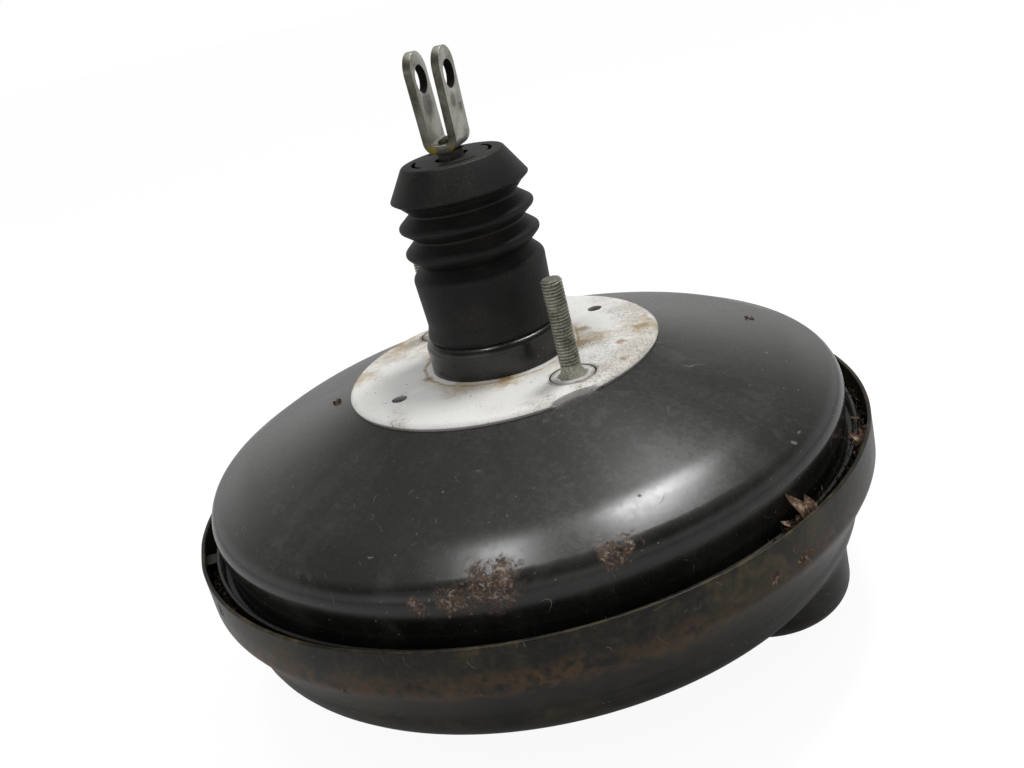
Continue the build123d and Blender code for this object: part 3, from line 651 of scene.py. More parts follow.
@dataclass(frozen=True)
class BlackPaint:
    """Satin black paint on pressed steel, with dust, fibres, scuffs and rust."""

    name: str
    black: Colour = (0.0070, 0.0068, 0.0061)
    dust: Colour = (0.064, 0.063, 0.058)
    lint: Colour = (0.17, 0.15, 0.11)
    stain: Colour = (0.068, 0.038, 0.017)
    haze: Colour = (0.040, 0.026, 0.016)
    rust_dark: Colour = (0.017, 0.011, 0.008)
    rust_brown: Colour = (0.098, 0.050, 0.027)
    rust_flake: Colour = (0.27, 0.235, 0.20)
    dusty: float = 0.28
    settled: float = 0.35
    patches: tuple[Patch, ...] = ()
    band: tuple[float, float] | None = None
    gloss: float = 0.18
    shine: float = 0.5
    blotchy: float = 0.0

    def material(self) -> bpy.types.Material:
        """Build the material.

        Returns:
            The material.
        """
        paint = Paint(self.name)
        spot = paint.split(paint.place)
        cloud = paint.noise(55, 4, 0.6)
        film = self._film(paint, cloud, spot)
        lint = self._lint(paint, spot)
        rust = self._rust(paint, cloud)
        scale = paint.noise(2.2, 6, 1.0)
        colour = paint.mix(film, self.black, self.dust)
        colour = paint.mix(self._band(paint, spot[2]), colour, self.stain)
        colour = paint.mix(lint * 0.75, colour, self.lint)
        colour = paint.mix(rust.step(0.0, 0.3) * 0.5, colour, self.haze)
        rusted = paint.mix(scale.step(0.36, 0.62), self.rust_dark, self.rust_brown)
        rusted = paint.mix(paint.noise(1.9, 6, 1.2).step(0.54, 0.66) * 0.85, rusted, self.rust_flake)
        mottle = paint.noise(2.4, 5, 0.6).step(0.36, 0.70)
        peel = paint.noise(0.7, 2) * 0.05 + paint.noise(7, 3) * 0.16
        return paint.finish(
            paint.mix(rust, colour, rusted),
            self.gloss + film * 0.2 + lint * 0.2 + mottle * 0.03 + rust * 0.45,
            relief=peel + lint * 0.12 + rust * scale * 0.5,
            depth=0.16,
            shine=self.shine,
        )

    def _film(self, paint: Paint, cloud: Wire, spot: tuple[Wire, Wire, Wire]) -> Wire:
        """The film of dust: clouds, wipe marks along the turn, what has settled on top, and smudges.

        Args:
            paint: The material's tree.
            cloud: Large noise.
            spot: The place, as X, Y and Z in metres.

        Returns:
            How thick the film is.
        """
        x, y, z = spot
        grain = paint.noise(2.2, 4)
        turn = y.call("ARCTAN2", x)
        reach = (x * x + y * y) ** 0.5
        wiped = paint.noise(1000, 3, 0.0, paint.join(turn * 9.0, reach * 14.0, z * 14.0))
        top = paint.facing[2].step(0.55, 1.0) * self.settled * (grain * 0.3 + 0.85)
        film = (cloud * 0.55 + wiped * 0.30 + grain * 0.25).step(0.44, 0.80) * self.dusty + top
        smudge = paint.noise(11, 5, 0.8).step(0.56, 0.74) * paint.noise(45, 2).step(0.46, 0.62) * 0.18
        blotch = paint.noise(9, 5, 0.7).step(0.38, 0.66) * self.blotchy + (1.0 - self.blotchy * 0.5)
        return (film + smudge) * blotch * self._upper(z)

    def _lint(self, paint: Paint, spot: tuple[Wire, Wire, Wire]) -> Wire:
        """Light specks, short fibres and fine scratches.

        Args:
            paint: The material's tree.
            spot: The place, as X, Y and Z in metres.

        Returns:
            The mask.
        """
        x, y, z = spot
        specks = paint.specks(5.5, 0.075) * paint.noise(24).step(0.40, 0.58)
        crumbs = paint.specks(1.0, 0.17) * paint.noise(9, 4).step(0.46, 0.66) * 0.5
        hair = (paint.noise(16, 1, 0.5) - 0.5).call("ABSOLUTE").step(0.0040, 0.001)
        wisp = hair * paint.noise(6, 1).step(0.62, 0.68)
        along = paint.join((x * 0.8 + y * 0.6) * 2300.0, (y * 0.8 - x * 0.6) * 150.0, z * 300.0)
        scratch = paint.noise(1000, 1, 0.0, along).step(0.75, 0.81) * 0.4
        return specks.call("MAXIMUM", crumbs).call("MAXIMUM", wisp).call("MAXIMUM", scratch)

    def _upper(self, z: Wire) -> Value:
        """How much of the film stays at a height: less under the band, so the paint gets darker towards the
        bottom, and all of it where there is none.

        Args:
            z: Height in metres.

        Returns:
            The share that stays.
        """
        if not self.band:
            return 1.0
        return z.step((self.band[0] - 4) * MM, (self.band[1] + 2) * MM) * 0.55 + 0.45

    def _band(self, paint: Paint, z: Wire) -> Value:
        """Brown dirt along a band of heights.

        Args:
            paint: The material's tree.
            z: Height in metres.

        Returns:
            The mask, 0 where there is no band.
        """
        if not self.band:
            return 0.0
        low, high = (value * MM for value in self.band)
        soft = (high - low) * 0.8
        shifted = z + (paint.noise(14, 3) - 0.5) * 0.007
        inside = shifted.step(low - soft, low) * shifted.step(high + soft, high)
        along = paint.noise(40, 2).step(0.35, 0.6) * 0.7 + 0.3
        return inside * paint.noise(4, 5, 0.4).step(0.36, 0.60) * along

    def _rust(self, paint: Paint, cloud: Wire) -> Wire:
        """Where the paint is rusted.

        Args:
            paint: The material's tree.
            cloud: Large noise.

        Returns:
            The mask.
        """
        ragged = paint.noise(6.5, 2, 0.2)
        rust = paint.noise(7.5, 4, 0.3).step(0.72, 0.80) * cloud.step(0.45, 0.6)
        for patch in self.patches:
            rust = rust.call("MAXIMUM", paint.spot(patch.middle, patch.reach, ragged, 0.95))
        broken = rust + (paint.noise(1.6, 6, 0.8) - 0.5) * 2.8
        return (broken.step(0.38, 0.72) * 0.85 + 0.15) * rust.step(0.0, 0.5) * 0.92


@dataclass(frozen=True)
class PlateZinc:
    """Dull white zinc with rust that has run from the neck, with painted shade on its steep edge and round
    the stud seats.
    """

    name: str
    white: Colour = (0.72, 0.715, 0.69)
    grey: Colour = (0.40, 0.385, 0.34)
    stain: Colour = (0.27, 0.165, 0.055)
    tan: Colour = (0.40, 0.31, 0.175)
    # dark dirt specks and cracks; also the colour of the painted shade on the edge and round the stud seats
    dark: Colour = (0.075, 0.058, 0.040)
    wash: Colour = (0.30, 0.25, 0.175)
    neck: float = 29.0
    ring: tuple[float, float] = (8.0, 10.6)
    foot: float = 6.9
    patches: tuple[Patch, ...] = ()
    burns: tuple[Patch, ...] = ()
    shaded_seats: tuple[Place, ...] = ()

    def material(self) -> bpy.types.Material:
        """Build the material.

        Returns:
            The material.
        """
        paint = Paint(self.name)
        x, y, _ = paint.split(paint.place)
        reach = (x * x + y * y) ** 0.5 / MM
        turn = y.call("ARCTAN2", x)
        cloud = paint.noise(22, 4, 0.4)
        fine = paint.noise(0.8, 3)
        ragged = paint.noise(3.6, 6, 0.8)
        scuff = (cloud * 0.45 + fine * 0.55).step(0.46, 0.72) * 0.55
        colour = paint.mix(scuff, self.white, self.grey)
        drift = paint.noise(1000, 4, 0.5, paint.join(turn * 3.0, reach * 0.05, 0.0))
        tide = self.neck + 1.2 + drift * 4.2
        halo = (reach - tide).step(8.0, 0.2) * (reach - tide).step(-0.6, 0.4) * cloud.step(0.34, 0.60) * 0.6
        colour = paint.mix(halo, colour, self.tan)
        for patch in self.patches:
            colour = paint.mix(paint.spot(patch.middle, patch.reach, ragged, 0.9) * 0.75, colour, self.tan)
        for patch in self.burns:
            colour = paint.mix(paint.spot(patch.middle, patch.reach, ragged, 0.8) * 0.8, colour, self.stain)
        run = (reach - tide).call("ABSOLUTE").step(1.3, 0.1) * ragged.step(0.30, 0.58)
        colour = paint.mix(run * 0.75, colour, self.stain)
        # Painted shade round each stud seat: a dark ring across the flange's edge and a dark disc round the
        # stud's foot.
        for seat in self.shaded_seats:
            calm = ragged * 0.25 + 0.375
            ring = paint.spot(seat, self.ring[1], calm, 0.12) - paint.spot(seat, self.ring[0], calm, 0.2)
            foot = paint.spot(seat, self.foot, ragged * 0.3 + 0.35, 0.3)
            colour = paint.mix((ring * 0.5 + foot * 0.85).call("MINIMUM", 1.0), colour, self.dark)
        spots = paint.specks(3.3, 0.15) * paint.noise(13, 3).step(0.48, 0.62)
        worn = (x - 20 * MM).step(0.0, 35 * MM) * 0.24
        colour = paint.mix((cloud + worn).step(0.52, 0.90) * 0.4, colour, self.wash)
        dots = (paint.specks(1.4, 0.17) * (paint.noise(9, 3) + worn).step(0.50, 0.66)) * 0.7
        cracks = (paint.noise(2.6, 4, 0.3) - 0.5).call("ABSOLUTE").step(0.030, 0.006)
        crazed = cracks * (cloud + worn).step(0.56, 0.72)
        colour = paint.mix(spots.call("MAXIMUM", dots).call("MAXIMUM", crazed * 0.55), colour, self.dark)
        # Painted shade: the steep faces of the plate's edge get the dark colour, standing in for the shadow
        # line under the edge.
        side = paint.facing[2].step(0.75, 0.35)
        colour = paint.mix(side * 0.45, colour, self.dark)
        return paint.finish(colour, 0.45 + scuff * 0.3 + run * 0.3, 0.0, fine * 0.5 + spots, 0.05)


@dataclass(frozen=True)
class Rubber:
    """Matte moulded rubber with a film of dust."""

    name: str
    black: Colour = (0.0024, 0.0024, 0.0025)
    dust: Colour = (0.050, 0.045, 0.036)
    dusty: float = 0.42
    rough: float = 0.50
    shine: float = 0.30

    def material(self) -> bpy.types.Material:
        """Build the material.

        Returns:
            The material.
        """
        paint = Paint(self.name)
        cloud = paint.noise(16, 4, 0.4)
        grain = paint.noise(0.8, 3)
        up = paint.facing[2].step(-0.1, 0.9)
        film = ((cloud * 0.6 + grain * 0.4).step(0.40, 0.74) * 0.8 + up * 0.12) * self.dusty
        fleck = (paint.specks(3.4, 0.09) * paint.noise(15).step(0.48, 0.60)).call(
            "MAXIMUM", paint.specks(1.1, 0.18) * paint.noise(7, 3).step(0.46, 0.62) * 0.7)
        colour = paint.mix((film + fleck).call("MINIMUM", 1.0), self.black, self.dust)
        relief = grain * 0.7 + cloud * 0.3
        return paint.finish(colour, self.rough + film * 0.25, 0.0, relief, 0.12, self.shine)


@dataclass(frozen=True)
class ThreadZinc:
    """Dull zinc on a pair of rolled threads, with painted shade in the roots."""

    name: str
    reach: float
    angle: float
    crest: Colour = (0.50, 0.49, 0.41)
    dull: Colour = (0.20, 0.195, 0.15)
    # painted shade in the thread roots
    root: Colour = (0.030, 0.027, 0.020)
    root_r: float = 3.35
    crest_r: float = 3.9

    def material(self) -> bpy.types.Material:
        """Build the material.

        Returns:
            The material.
        """
        paint = Paint(self.name)
        x, y, _ = paint.split(paint.place)
        cloud = paint.noise(6, 4, 0.5)
        fine = paint.noise(0.8, 3)
        flat = paint.join(x, y, 0.0)
        near = [paint.distance(flat, polar(self.reach, self.angle + turn)) / MM for turn in (0.0, 180.0)]
        depth = near[0].call("MINIMUM", near[1])
        colour = paint.mix((cloud * 0.5 + fine * 0.5).step(0.40, 0.66), self.crest, self.dull)
        # Painted shade: points nearer the axis than the crest, in the thread roots, are darkened with the
        # root colour.
        colour = paint.mix(depth.step(self.crest_r, self.root_r) * 0.42, colour, self.root)
        return paint.finish(colour, 0.42 + fine * 0.2, 0.75, fine, 0.04)


@dataclass(frozen=True)
class ClevisZinc:
    """Worn zinc on a bent strap, with dark sheared edges and painted shade in the pin bores."""

    name: str
    pin_z: float
    pin_r: float
    bright: Colour = (0.58, 0.57, 0.51)
    dull: Colour = (0.31, 0.305, 0.26)
    edge: Colour = (0.055, 0.050, 0.034)
    # painted shade in the pin bores
    bore: Colour = (0.012, 0.011, 0.009)
    tint: Colour = (0.26, 0.21, 0.025)
    dirt: Colour = (0.085, 0.078, 0.065)
    tints: tuple[Patch, ...] = ()
    stains: tuple[Patch, ...] = ()

    def material(self) -> bpy.types.Material:
        """Build the material.

        Returns:
            The material.
        """
        paint = Paint(self.name)
        _, y, z = paint.split(paint.place)
        cloud = paint.noise(8, 4, 0.5)
        fine = paint.noise(0.7, 4)
        worn = (cloud * 0.65 + fine * 0.35).step(0.40, 0.66)
        colour = paint.mix(worn, self.bright, self.dull)
        for patch in self.stains:
            colour = paint.mix(paint.spot(patch.middle, patch.reach, cloud, 0.5) * 0.7, colour, self.dirt)
        sheared = paint.facing[1].call("ABSOLUTE").step(0.35, 0.75)
        colour = paint.mix(sheared * (0.55 + cloud * 0.6).call("MINIMUM", 1.0), colour, self.edge)
        for patch in self.tints:
            colour = paint.mix(paint.spot(patch.middle, patch.reach, cloud, 0.6) * 0.85, colour, self.tint)
        # Painted shade: the wall of the pin bore is darkened almost to black and made rougher.
        up = z - self.pin_z * MM
        bore_shade = ((y * y + up * up) ** 0.5 / MM).step(self.pin_r + 0.35, self.pin_r + 0.05)
        colour = paint.mix(bore_shade, colour, self.bore)
        return paint.finish(colour, 0.34 + worn * 0.25 + bore_shade * 0.3, 0.8, fine + cloud * 0.5, 0.05)


@dataclass(frozen=True)
class Grime:
    """Dry dirt, leaf bits and rust flakes."""

    name: str
    dark: Colour = (0.020, 0.013, 0.009)
    light: Colour = (0.17, 0.085, 0.040)

    def material(self) -> bpy.types.Material:
        """Build the material.

        Returns:
            The material.
        """
        paint = Paint(self.name)
        bits = paint.noise(2.5, 4)
        colour = paint.mix(bits.step(0.46, 0.68), self.dark, self.light)
        return paint.finish(colour, 0.85, 0.0, paint.noise(0.6, 3), 0.15)


@dataclass(frozen=True)
class Plain:
    """A finish of the inner pieces: one colour with a grain."""

    name: str
    colour: Colour
    rough: float
    metallic: float = 0.0
    grain: float = 1.0

    def material(self) -> bpy.types.Material:
        """Build the material.

        Returns:
            The material.
        """
        paint = Paint(self.name)
        noise = paint.noise(self.grain, 4)
        darker = tuple(part * 0.6 for part in self.colour)
        colour = paint.mix(noise.step(0.35, 0.65), darker, self.colour)
        return paint.finish(colour, self.rough + noise * 0.15, self.metallic, noise, 0.04)


# ---------------------------------------------------------------- housing
@dataclass
class RearShell:
    """The housing half on the pedal side: neck, dome, groove and upturned edge."""

    sheet: float = 1.6
    spigot_r: float = 24.6
    spigot_top: float = 35.0
    neck_r: float = 29.0
    neck_h: float = 12.9
    flat_z: float = -2.0
    flat_r: float = 60.2
    knee: Point = (116.0, -20.0)
    shoulder: Point = (133.0, -28.5)
    wall_foot_r: float = 130.5
    groove_z: float = -53.5
    edge_r: float = 134.0
    edge_top: float = -47.5

    def build(self) -> bpy.types.Object:
        """Turn the pressed section.

        Returns:
            The shell.
        """
        line = [
            (self.spigot_r, self.spigot_top), (self.spigot_r, self.neck_h), (self.neck_r, self.neck_h),
            (self.neck_r, self.flat_z), (self.flat_r, self.flat_z), self.knee, self.shoulder,
            (self.wall_foot_r, self.groove_z), (self.edge_r, self.groove_z), (self.edge_r, self.edge_top),
        ]
        bends = [1.0, 2.0, 1.0, 12.0, 60.0, 7.4, 1.2, 1.2]
        return turned("rear_shell_skin", soften(pressed(line, bends, self.sheet), 0.5))

    def dress(self, piece: bpy.types.Object, finish: bpy.types.Material) -> None:
        """Paint the shell and seat it on the housing."""
        place_on(piece, "housing", ["rear_shell"], finish)


@dataclass
class FrontShell:
    """The housing half on the engine side: skirt, wall, face, boss, bulge and staked dents."""

    sheet: float = 1.6
    lip_r: float = 141.0
    lip_top: float = -44.0
    skirt_foot: float = -60.9
    body: Point = (132.0, -77.0)
    face_edge_r: float = 130.5
    face_z: float = -92.0
    face_bend: float = 11.4
    boss_foot_r: float = 66.0
    boss_r: float = 59.0
    boss_z: float = -100.0
    pilot_r: float = 23.5
    bulge_reach: float = 96.0
    bulge_angle: float = -11.0
    bulge_r: float = 32.5
    bulge_bottom: float = -114.0
    bulge_round: float = 13.0
    bulge_flare: float = 5.0
    stake_angles: tuple[float, ...] = (-148.0, -28.0, 92.0)
    stake_sweep: float = 7.0
    stake_z: float = -47.5
    stake_depth: float = 1.6
    stake_tall: float = 2.6
    edge_r: float = 134.0
    port_reach: float = 92.0
    port_angle: float = 169.0
    port_r: float = 9.5

    def _line(self) -> list[Point]:
        """Corners of the outer face, from the lip inwards.

        Returns:
            The corners as (radius, height).
        """
        return [
            (self.lip_r, self.lip_top), (self.lip_r, self.skirt_foot), self.body,
            (self.face_edge_r, self.face_z), (self.boss_foot_r, self.face_z), (self.boss_r, self.boss_z),
            (self.pilot_r, self.boss_z),
        ]

    def build(self) -> bpy.types.Object:
        """Turn the shell, dent its lip and cut the vacuum port.

        Returns:
            The shell.
        """
        bends = [6.0, 8.0, self.face_bend, 4.0, 4.0]
        piece = turned("front_shell_skin", soften(pressed(self._line(), bends, self.sheet), 0.5))
        for vertex in piece.data.vertices:
            self._dent(vertex)
        where = polar(self.port_reach, self.port_angle)
        deep = self.sheet * 2.5
        hole = bar(self.port_r, self.face_z - deep, self.face_z + deep)
        carve(piece, turned("port_tool", hole, 48, where[:2]))
        return piece

    def _dent(self, vertex: bpy.types.MeshVertex) -> None:
        """Push one point of the lip in where a stake has been struck.

        Args:
            vertex: The point.
        """
        x, y, z = (value / MM for value in vertex.co)
        reach = math.hypot(x, y)
        if reach < self.edge_r + self.sheet or z < self.stake_z - 6:
            return
        angle = math.degrees(math.atan2(y, x))
        for stake in self.stake_angles:
            off = abs((angle - stake + 180) % 360 - 180) / (self.stake_sweep / 2)
            across = (z - self.stake_z + 0.4) / self.stake_tall
            push = self.stake_depth * math.exp(-off ** 4) * math.exp(-across * across)
            scale = (reach - push) / reach
            vertex.co.x *= scale
            vertex.co.y *= scale

    def build_tabs(self) -> list[bpy.types.Object]:
        """The metal that the stakes have pushed over the rear shell's edge.

        Returns:
            One tab for each stake.
        """
        low = self.stake_z + 0.1
        section = [(self.edge_r + 0.6, low), (self.lip_r - self.sheet * 0.5, low - 0.9),
                   (self.lip_r - self.sheet * 0.5, low + 0.3), (self.edge_r + 2.2, low)]
        half = self.stake_sweep * 0.25
        return [
            turned(f"stake_tab_{index + 1}", soften(section, 0.5), sweep=(angle - half, angle + half))
            for index, angle in enumerate(self.stake_angles)
        ]

    def _skin_height(self, reach: float) -> float:
        """Height of the shell's outer face at a radius, on the face and its rounded corner.

        Args:
            reach: The radius in millimetres.

        Returns:
            The height in millimetres.
        """
        corner = self.face_bend + self.sheet
        centre_r = self.face_edge_r - corner + 0.6
        over = min(max(reach - centre_r, 0.0), corner * 0.98)
        return self.face_z + corner - math.sqrt(corner * corner - over * over)

    def build_bulge(self) -> bpy.types.Object:
        """The bulge of the face, whose foot flares into the shell.

        Returns:
            The bulge.
        """
        middle = Vector(polar(self.bulge_reach, self.bulge_angle))
        wall = rounded([(self.bulge_r, 0.0), (self.bulge_r, self.bulge_bottom), (0.0, self.bulge_bottom)],
                       [self.bulge_round], 14)[1:]
        steps = 8
        rows = AROUND_SMALL
        vertices = []
        for row in range(rows):
            angle = 2 * math.pi * row / rows
            way = Vector((math.cos(angle), math.sin(angle), 0.0))
            inner = self._skin_height((middle + way * self.bulge_r).length)
            ahead = middle.dot(way)
            to_edge = math.sqrt(ahead * ahead - middle.length_squared + self.face_edge_r ** 2) - ahead
            flare = min(self.bulge_flare, to_edge - self.bulge_r)
            wide = middle + way * (self.bulge_r + flare)
            outer = self._skin_height(wide.length)
            vertices.append(tuple(middle)[:2] + (self.face_z + 1.2,))
            vertices.append(tuple(wide)[:2] + (outer + self.sheet * 0.6,))
            for step in range(steps + 1):
                share = step / steps
                keep = (1 - share) ** 2
                turn = 2 * share * (1 - share)
                end = share ** 2
                reach = self.bulge_r + flare * keep
                z = (outer + 0.03) * keep + (inner + 0.03) * turn + (inner - self.bulge_flare) * end
                vertices.append(tuple(middle + way * reach)[:2] + (z,))
            for reach, z in wall:
                vertices.append(tuple(middle + way * reach)[:2] + (z,))
        size = len(vertices) // rows
        return mesh_piece("front_shell_bulge", vertices, lattice(rows, size, True, False))

    def dress(self, pieces: Sequence[bpy.types.Object], finish: bpy.types.Material) -> None:
        """Paint the shell's pieces and seat them on the housing."""
        for piece in pieces:
            place_on(piece, "housing", ["front_shell"], finish)


@dataclass
class MountingPlate:
    """The white plate on the dome, with its holes and notch."""

    thick: float = 2.0
    hole_r: float = 29.1
    edge_r: float = 64.9
    flat_r: float = 60.2
    slope: float = 0.3226
    bend: float = 13.6
    taper: float = 1.6
    stud_reach: float = STUD_REACH
    stud_angle: float = STUD_ANGLE
    dip_r: float = 9.2
    jig_r: float = 3.1
    notch_r: float = 58.0
    notch_depth: float = 2.8
    notch_turn: float = -9.0
    notch_slant: float = 0.35

    def build(self) -> bpy.types.Object:
        """Turn the plate and cut its holes.

        Returns:
            The plate.
        """
        lift = self.thick * math.tan(math.atan(self.slope) / 2)
        knee = self.flat_r + lift
        line = [(self.hole_r, 0.0), (knee, 0.0), (self.edge_r, (knee - self.edge_r) * self.slope)]
        section = pressed(line, [self.bend], self.thick)
        outer = max(range(len(section)), key=lambda index: section[index][0] + section[index][1])
        tip = section[outer]
        section[outer:outer + 1] = [
            (tip[0] - self.taper, tip[1] + self.taper * self.slope), (tip[0] - 0.3, tip[1] - self.taper / 2),
        ]
        piece = turned("mounting_plate_skin", section)
        for turn in (0.0, 180.0):
            self._drill(piece, self.stud_reach, self.stud_angle + turn, self.dip_r)
            self._drill(piece, self.stud_reach, self.stud_angle + 90 + turn, self.jig_r)
        outside = self.edge_r + self.notch_r - self.notch_depth
        self._drill(piece, outside, self.stud_angle + self.notch_turn, self.notch_r, self.notch_slant)
        bevel(piece, 0.35, 2)
        return piece

    def _drill(self, piece: bpy.types.Object, reach: float, angle: float, radius: float,
               slant: float = 0.0) -> None:
        """Cut one round hole through the plate.

        Args:
            piece: The plate.
            reach: The hole's distance from the main axis.
            angle: Its angle in degrees.
            radius: Its radius at the plate's top.
            slant: How much narrower it gets for each millimetre down.
        """
        deep = self.thick * 5
        section = bar(radius, -deep, deep, slant)
        carve(piece, turned("drill", section, AROUND_SMALL, polar(reach, angle)[:2]))

    def dress(self, piece: bpy.types.Object, finish: bpy.types.Material) -> None:
        """Plate the piece and seat it on the housing."""
        place_on(piece, "housing", ["mounting_plate"], finish)


# ---------------------------------------------------------------- studs
@dataclass
class Studs:
    """A pair of threaded studs on one circle, standing up or hanging down."""

    name: str
    node: str
    reach: float
    angle: float
    foot: float
    length: float
    way: int
    plain: Sequence[Point]
    thread_r: float = 4.0
    pitch: float = 1.25
    depth: float = 0.62
    tip: float = 0.8
    facets: int = 48
    rows: int = 10

    def _thread(self, finish: bpy.types.Material) -> bpy.types.Object:
        """The threaded length: a grid rolled into a tube whose radius follows the helix.

        Args:
            finish: The thread's material.

        Returns:
            The threaded length, with its foot at the origin.
        """
        tree = Growth(self.name + "_thread")
        radius = tree.size("Radius", self.thread_r * MM)
        depth = tree.size("Depth", self.depth * MM)
        pitch = tree.size("Pitch", self.pitch * MM)
        length = tree.size("Length", self.length * MM)
        tip = tree.size("Tip", self.tip * MM)
        finish_wire = tree.size("Finish", finish, "Material")
        along = int(self.length / self.pitch * self.rows)
        sockets = {"Size X": 1.0, "Size Y": 1.0, "Vertices X": self.facets + 1, "Vertices Y": along}
        grid = tree.node("GeometryNodeMeshGrid", None, sockets)
        across, up, _ = tree.split(tree.node("GeometryNodeInputPosition").outputs[0])
        turn = across + 0.5
        share = up + 0.5
        run = ((share * float(along - 1) - 1.0) / float(along - 3)).clamped()
        height = run * length
        wave = (height / pitch - turn).call("FRACT")
        flank = ((wave - 0.5).call("ABSOLUTE") * 2.6 - 0.4).clamped()
        root = radius - depth * flank
        ended = radius - (height - length + tip).call("MAXIMUM", 0.0)
        skin = root.call("MINIMUM", ended)
        open_end = share.call("GREATER_THAN", 0.5 / along) * (1.0 - share).call("GREATER_THAN", 0.5 / along)
        skin = skin * open_end
        angle = turn * (2 * math.pi)
        spot = tree.join(skin * angle.call("COSINE"), skin * angle.call("SINE"), height)
        sockets = {"Geometry": grid.outputs[0], "Position": spot}
        bent = tree.node("GeometryNodeSetPosition", None, sockets)
        sockets = {"Geometry": bent.outputs[0], "Distance": 1e-6}
        joined = tree.node("GeometryNodeMergeByDistance", None, sockets)
        return tree.realise(joined.outputs[0], finish_wire, self.name + "_thread")

    def build(self, finish: bpy.types.Material) -> list[bpy.types.Object]:
        """Make both studs, each as one piece with its thread.

        Args:
            finish: Their material.

        Returns:
            Both studs.
        """
        studs = []
        for index in range(2):
            foot = turned("foot", soften(list(self.plain), 0.25), AROUND_SMALL)
            stud = merged(f"{self.name}_{index + 1}", [self._thread(finish), foot])
            self._stand(stud, index)
            studs.append(stud)
        return studs

    def build_flanges(self, radius: float, thick: float) -> list[bpy.types.Object]:
        """Make the round flanges under the studs.

        Args:
            radius: The flange's radius.
            thick: Its thickness.

        Returns:
            Both flanges.
        """
        flanges = []
        top = -self.foot
        for index in range(2):
            section = soften(bar(radius, top - thick, top), 0.3)
            flange = turned(f"{self.name}_flange_{index + 1}", section, AROUND_SMALL)
            self._stand(flange, index)
            flanges.append(flange)
        return flanges

    def _stand(self, piece: bpy.types.Object, index: int) -> None:
        """Move a piece from the origin to a stud's foot.

        Args:
            piece: The piece.
            index: 0 for the first stud, 1 for the second.
        """
        where = polar(self.reach, self.angle + 180 * index, self.foot)
        flip = Matrix.Diagonal((1.0, self.way, self.way, 1.0))
        piece.data.transform(Matrix.Translation(Vector(where) * MM) @ flip)
        tidy(piece)

    def dress(self, studs: Sequence[bpy.types.Object], finish: bpy.types.Material) -> None:
        """Plate the studs and seat them on the housing."""
        for stud in studs:
            place_on(stud, "housing", [self.node], finish)


def merged(name: str, pieces: Sequence[bpy.types.Object]) -> bpy.types.Object:
    """One object that holds the meshes of several, which are used up.

    Args:
        name: The new piece's name.
        pieces: What goes into it.

    Returns:
        The new piece.
    """
    work = bmesh.new()
    for piece in pieces:
        work.from_mesh(piece.data)
        bpy.data.objects.remove(piece)
    mesh = bpy.data.meshes.new(name)
    work.to_mesh(mesh)
    work.free()
    return put(name, mesh)


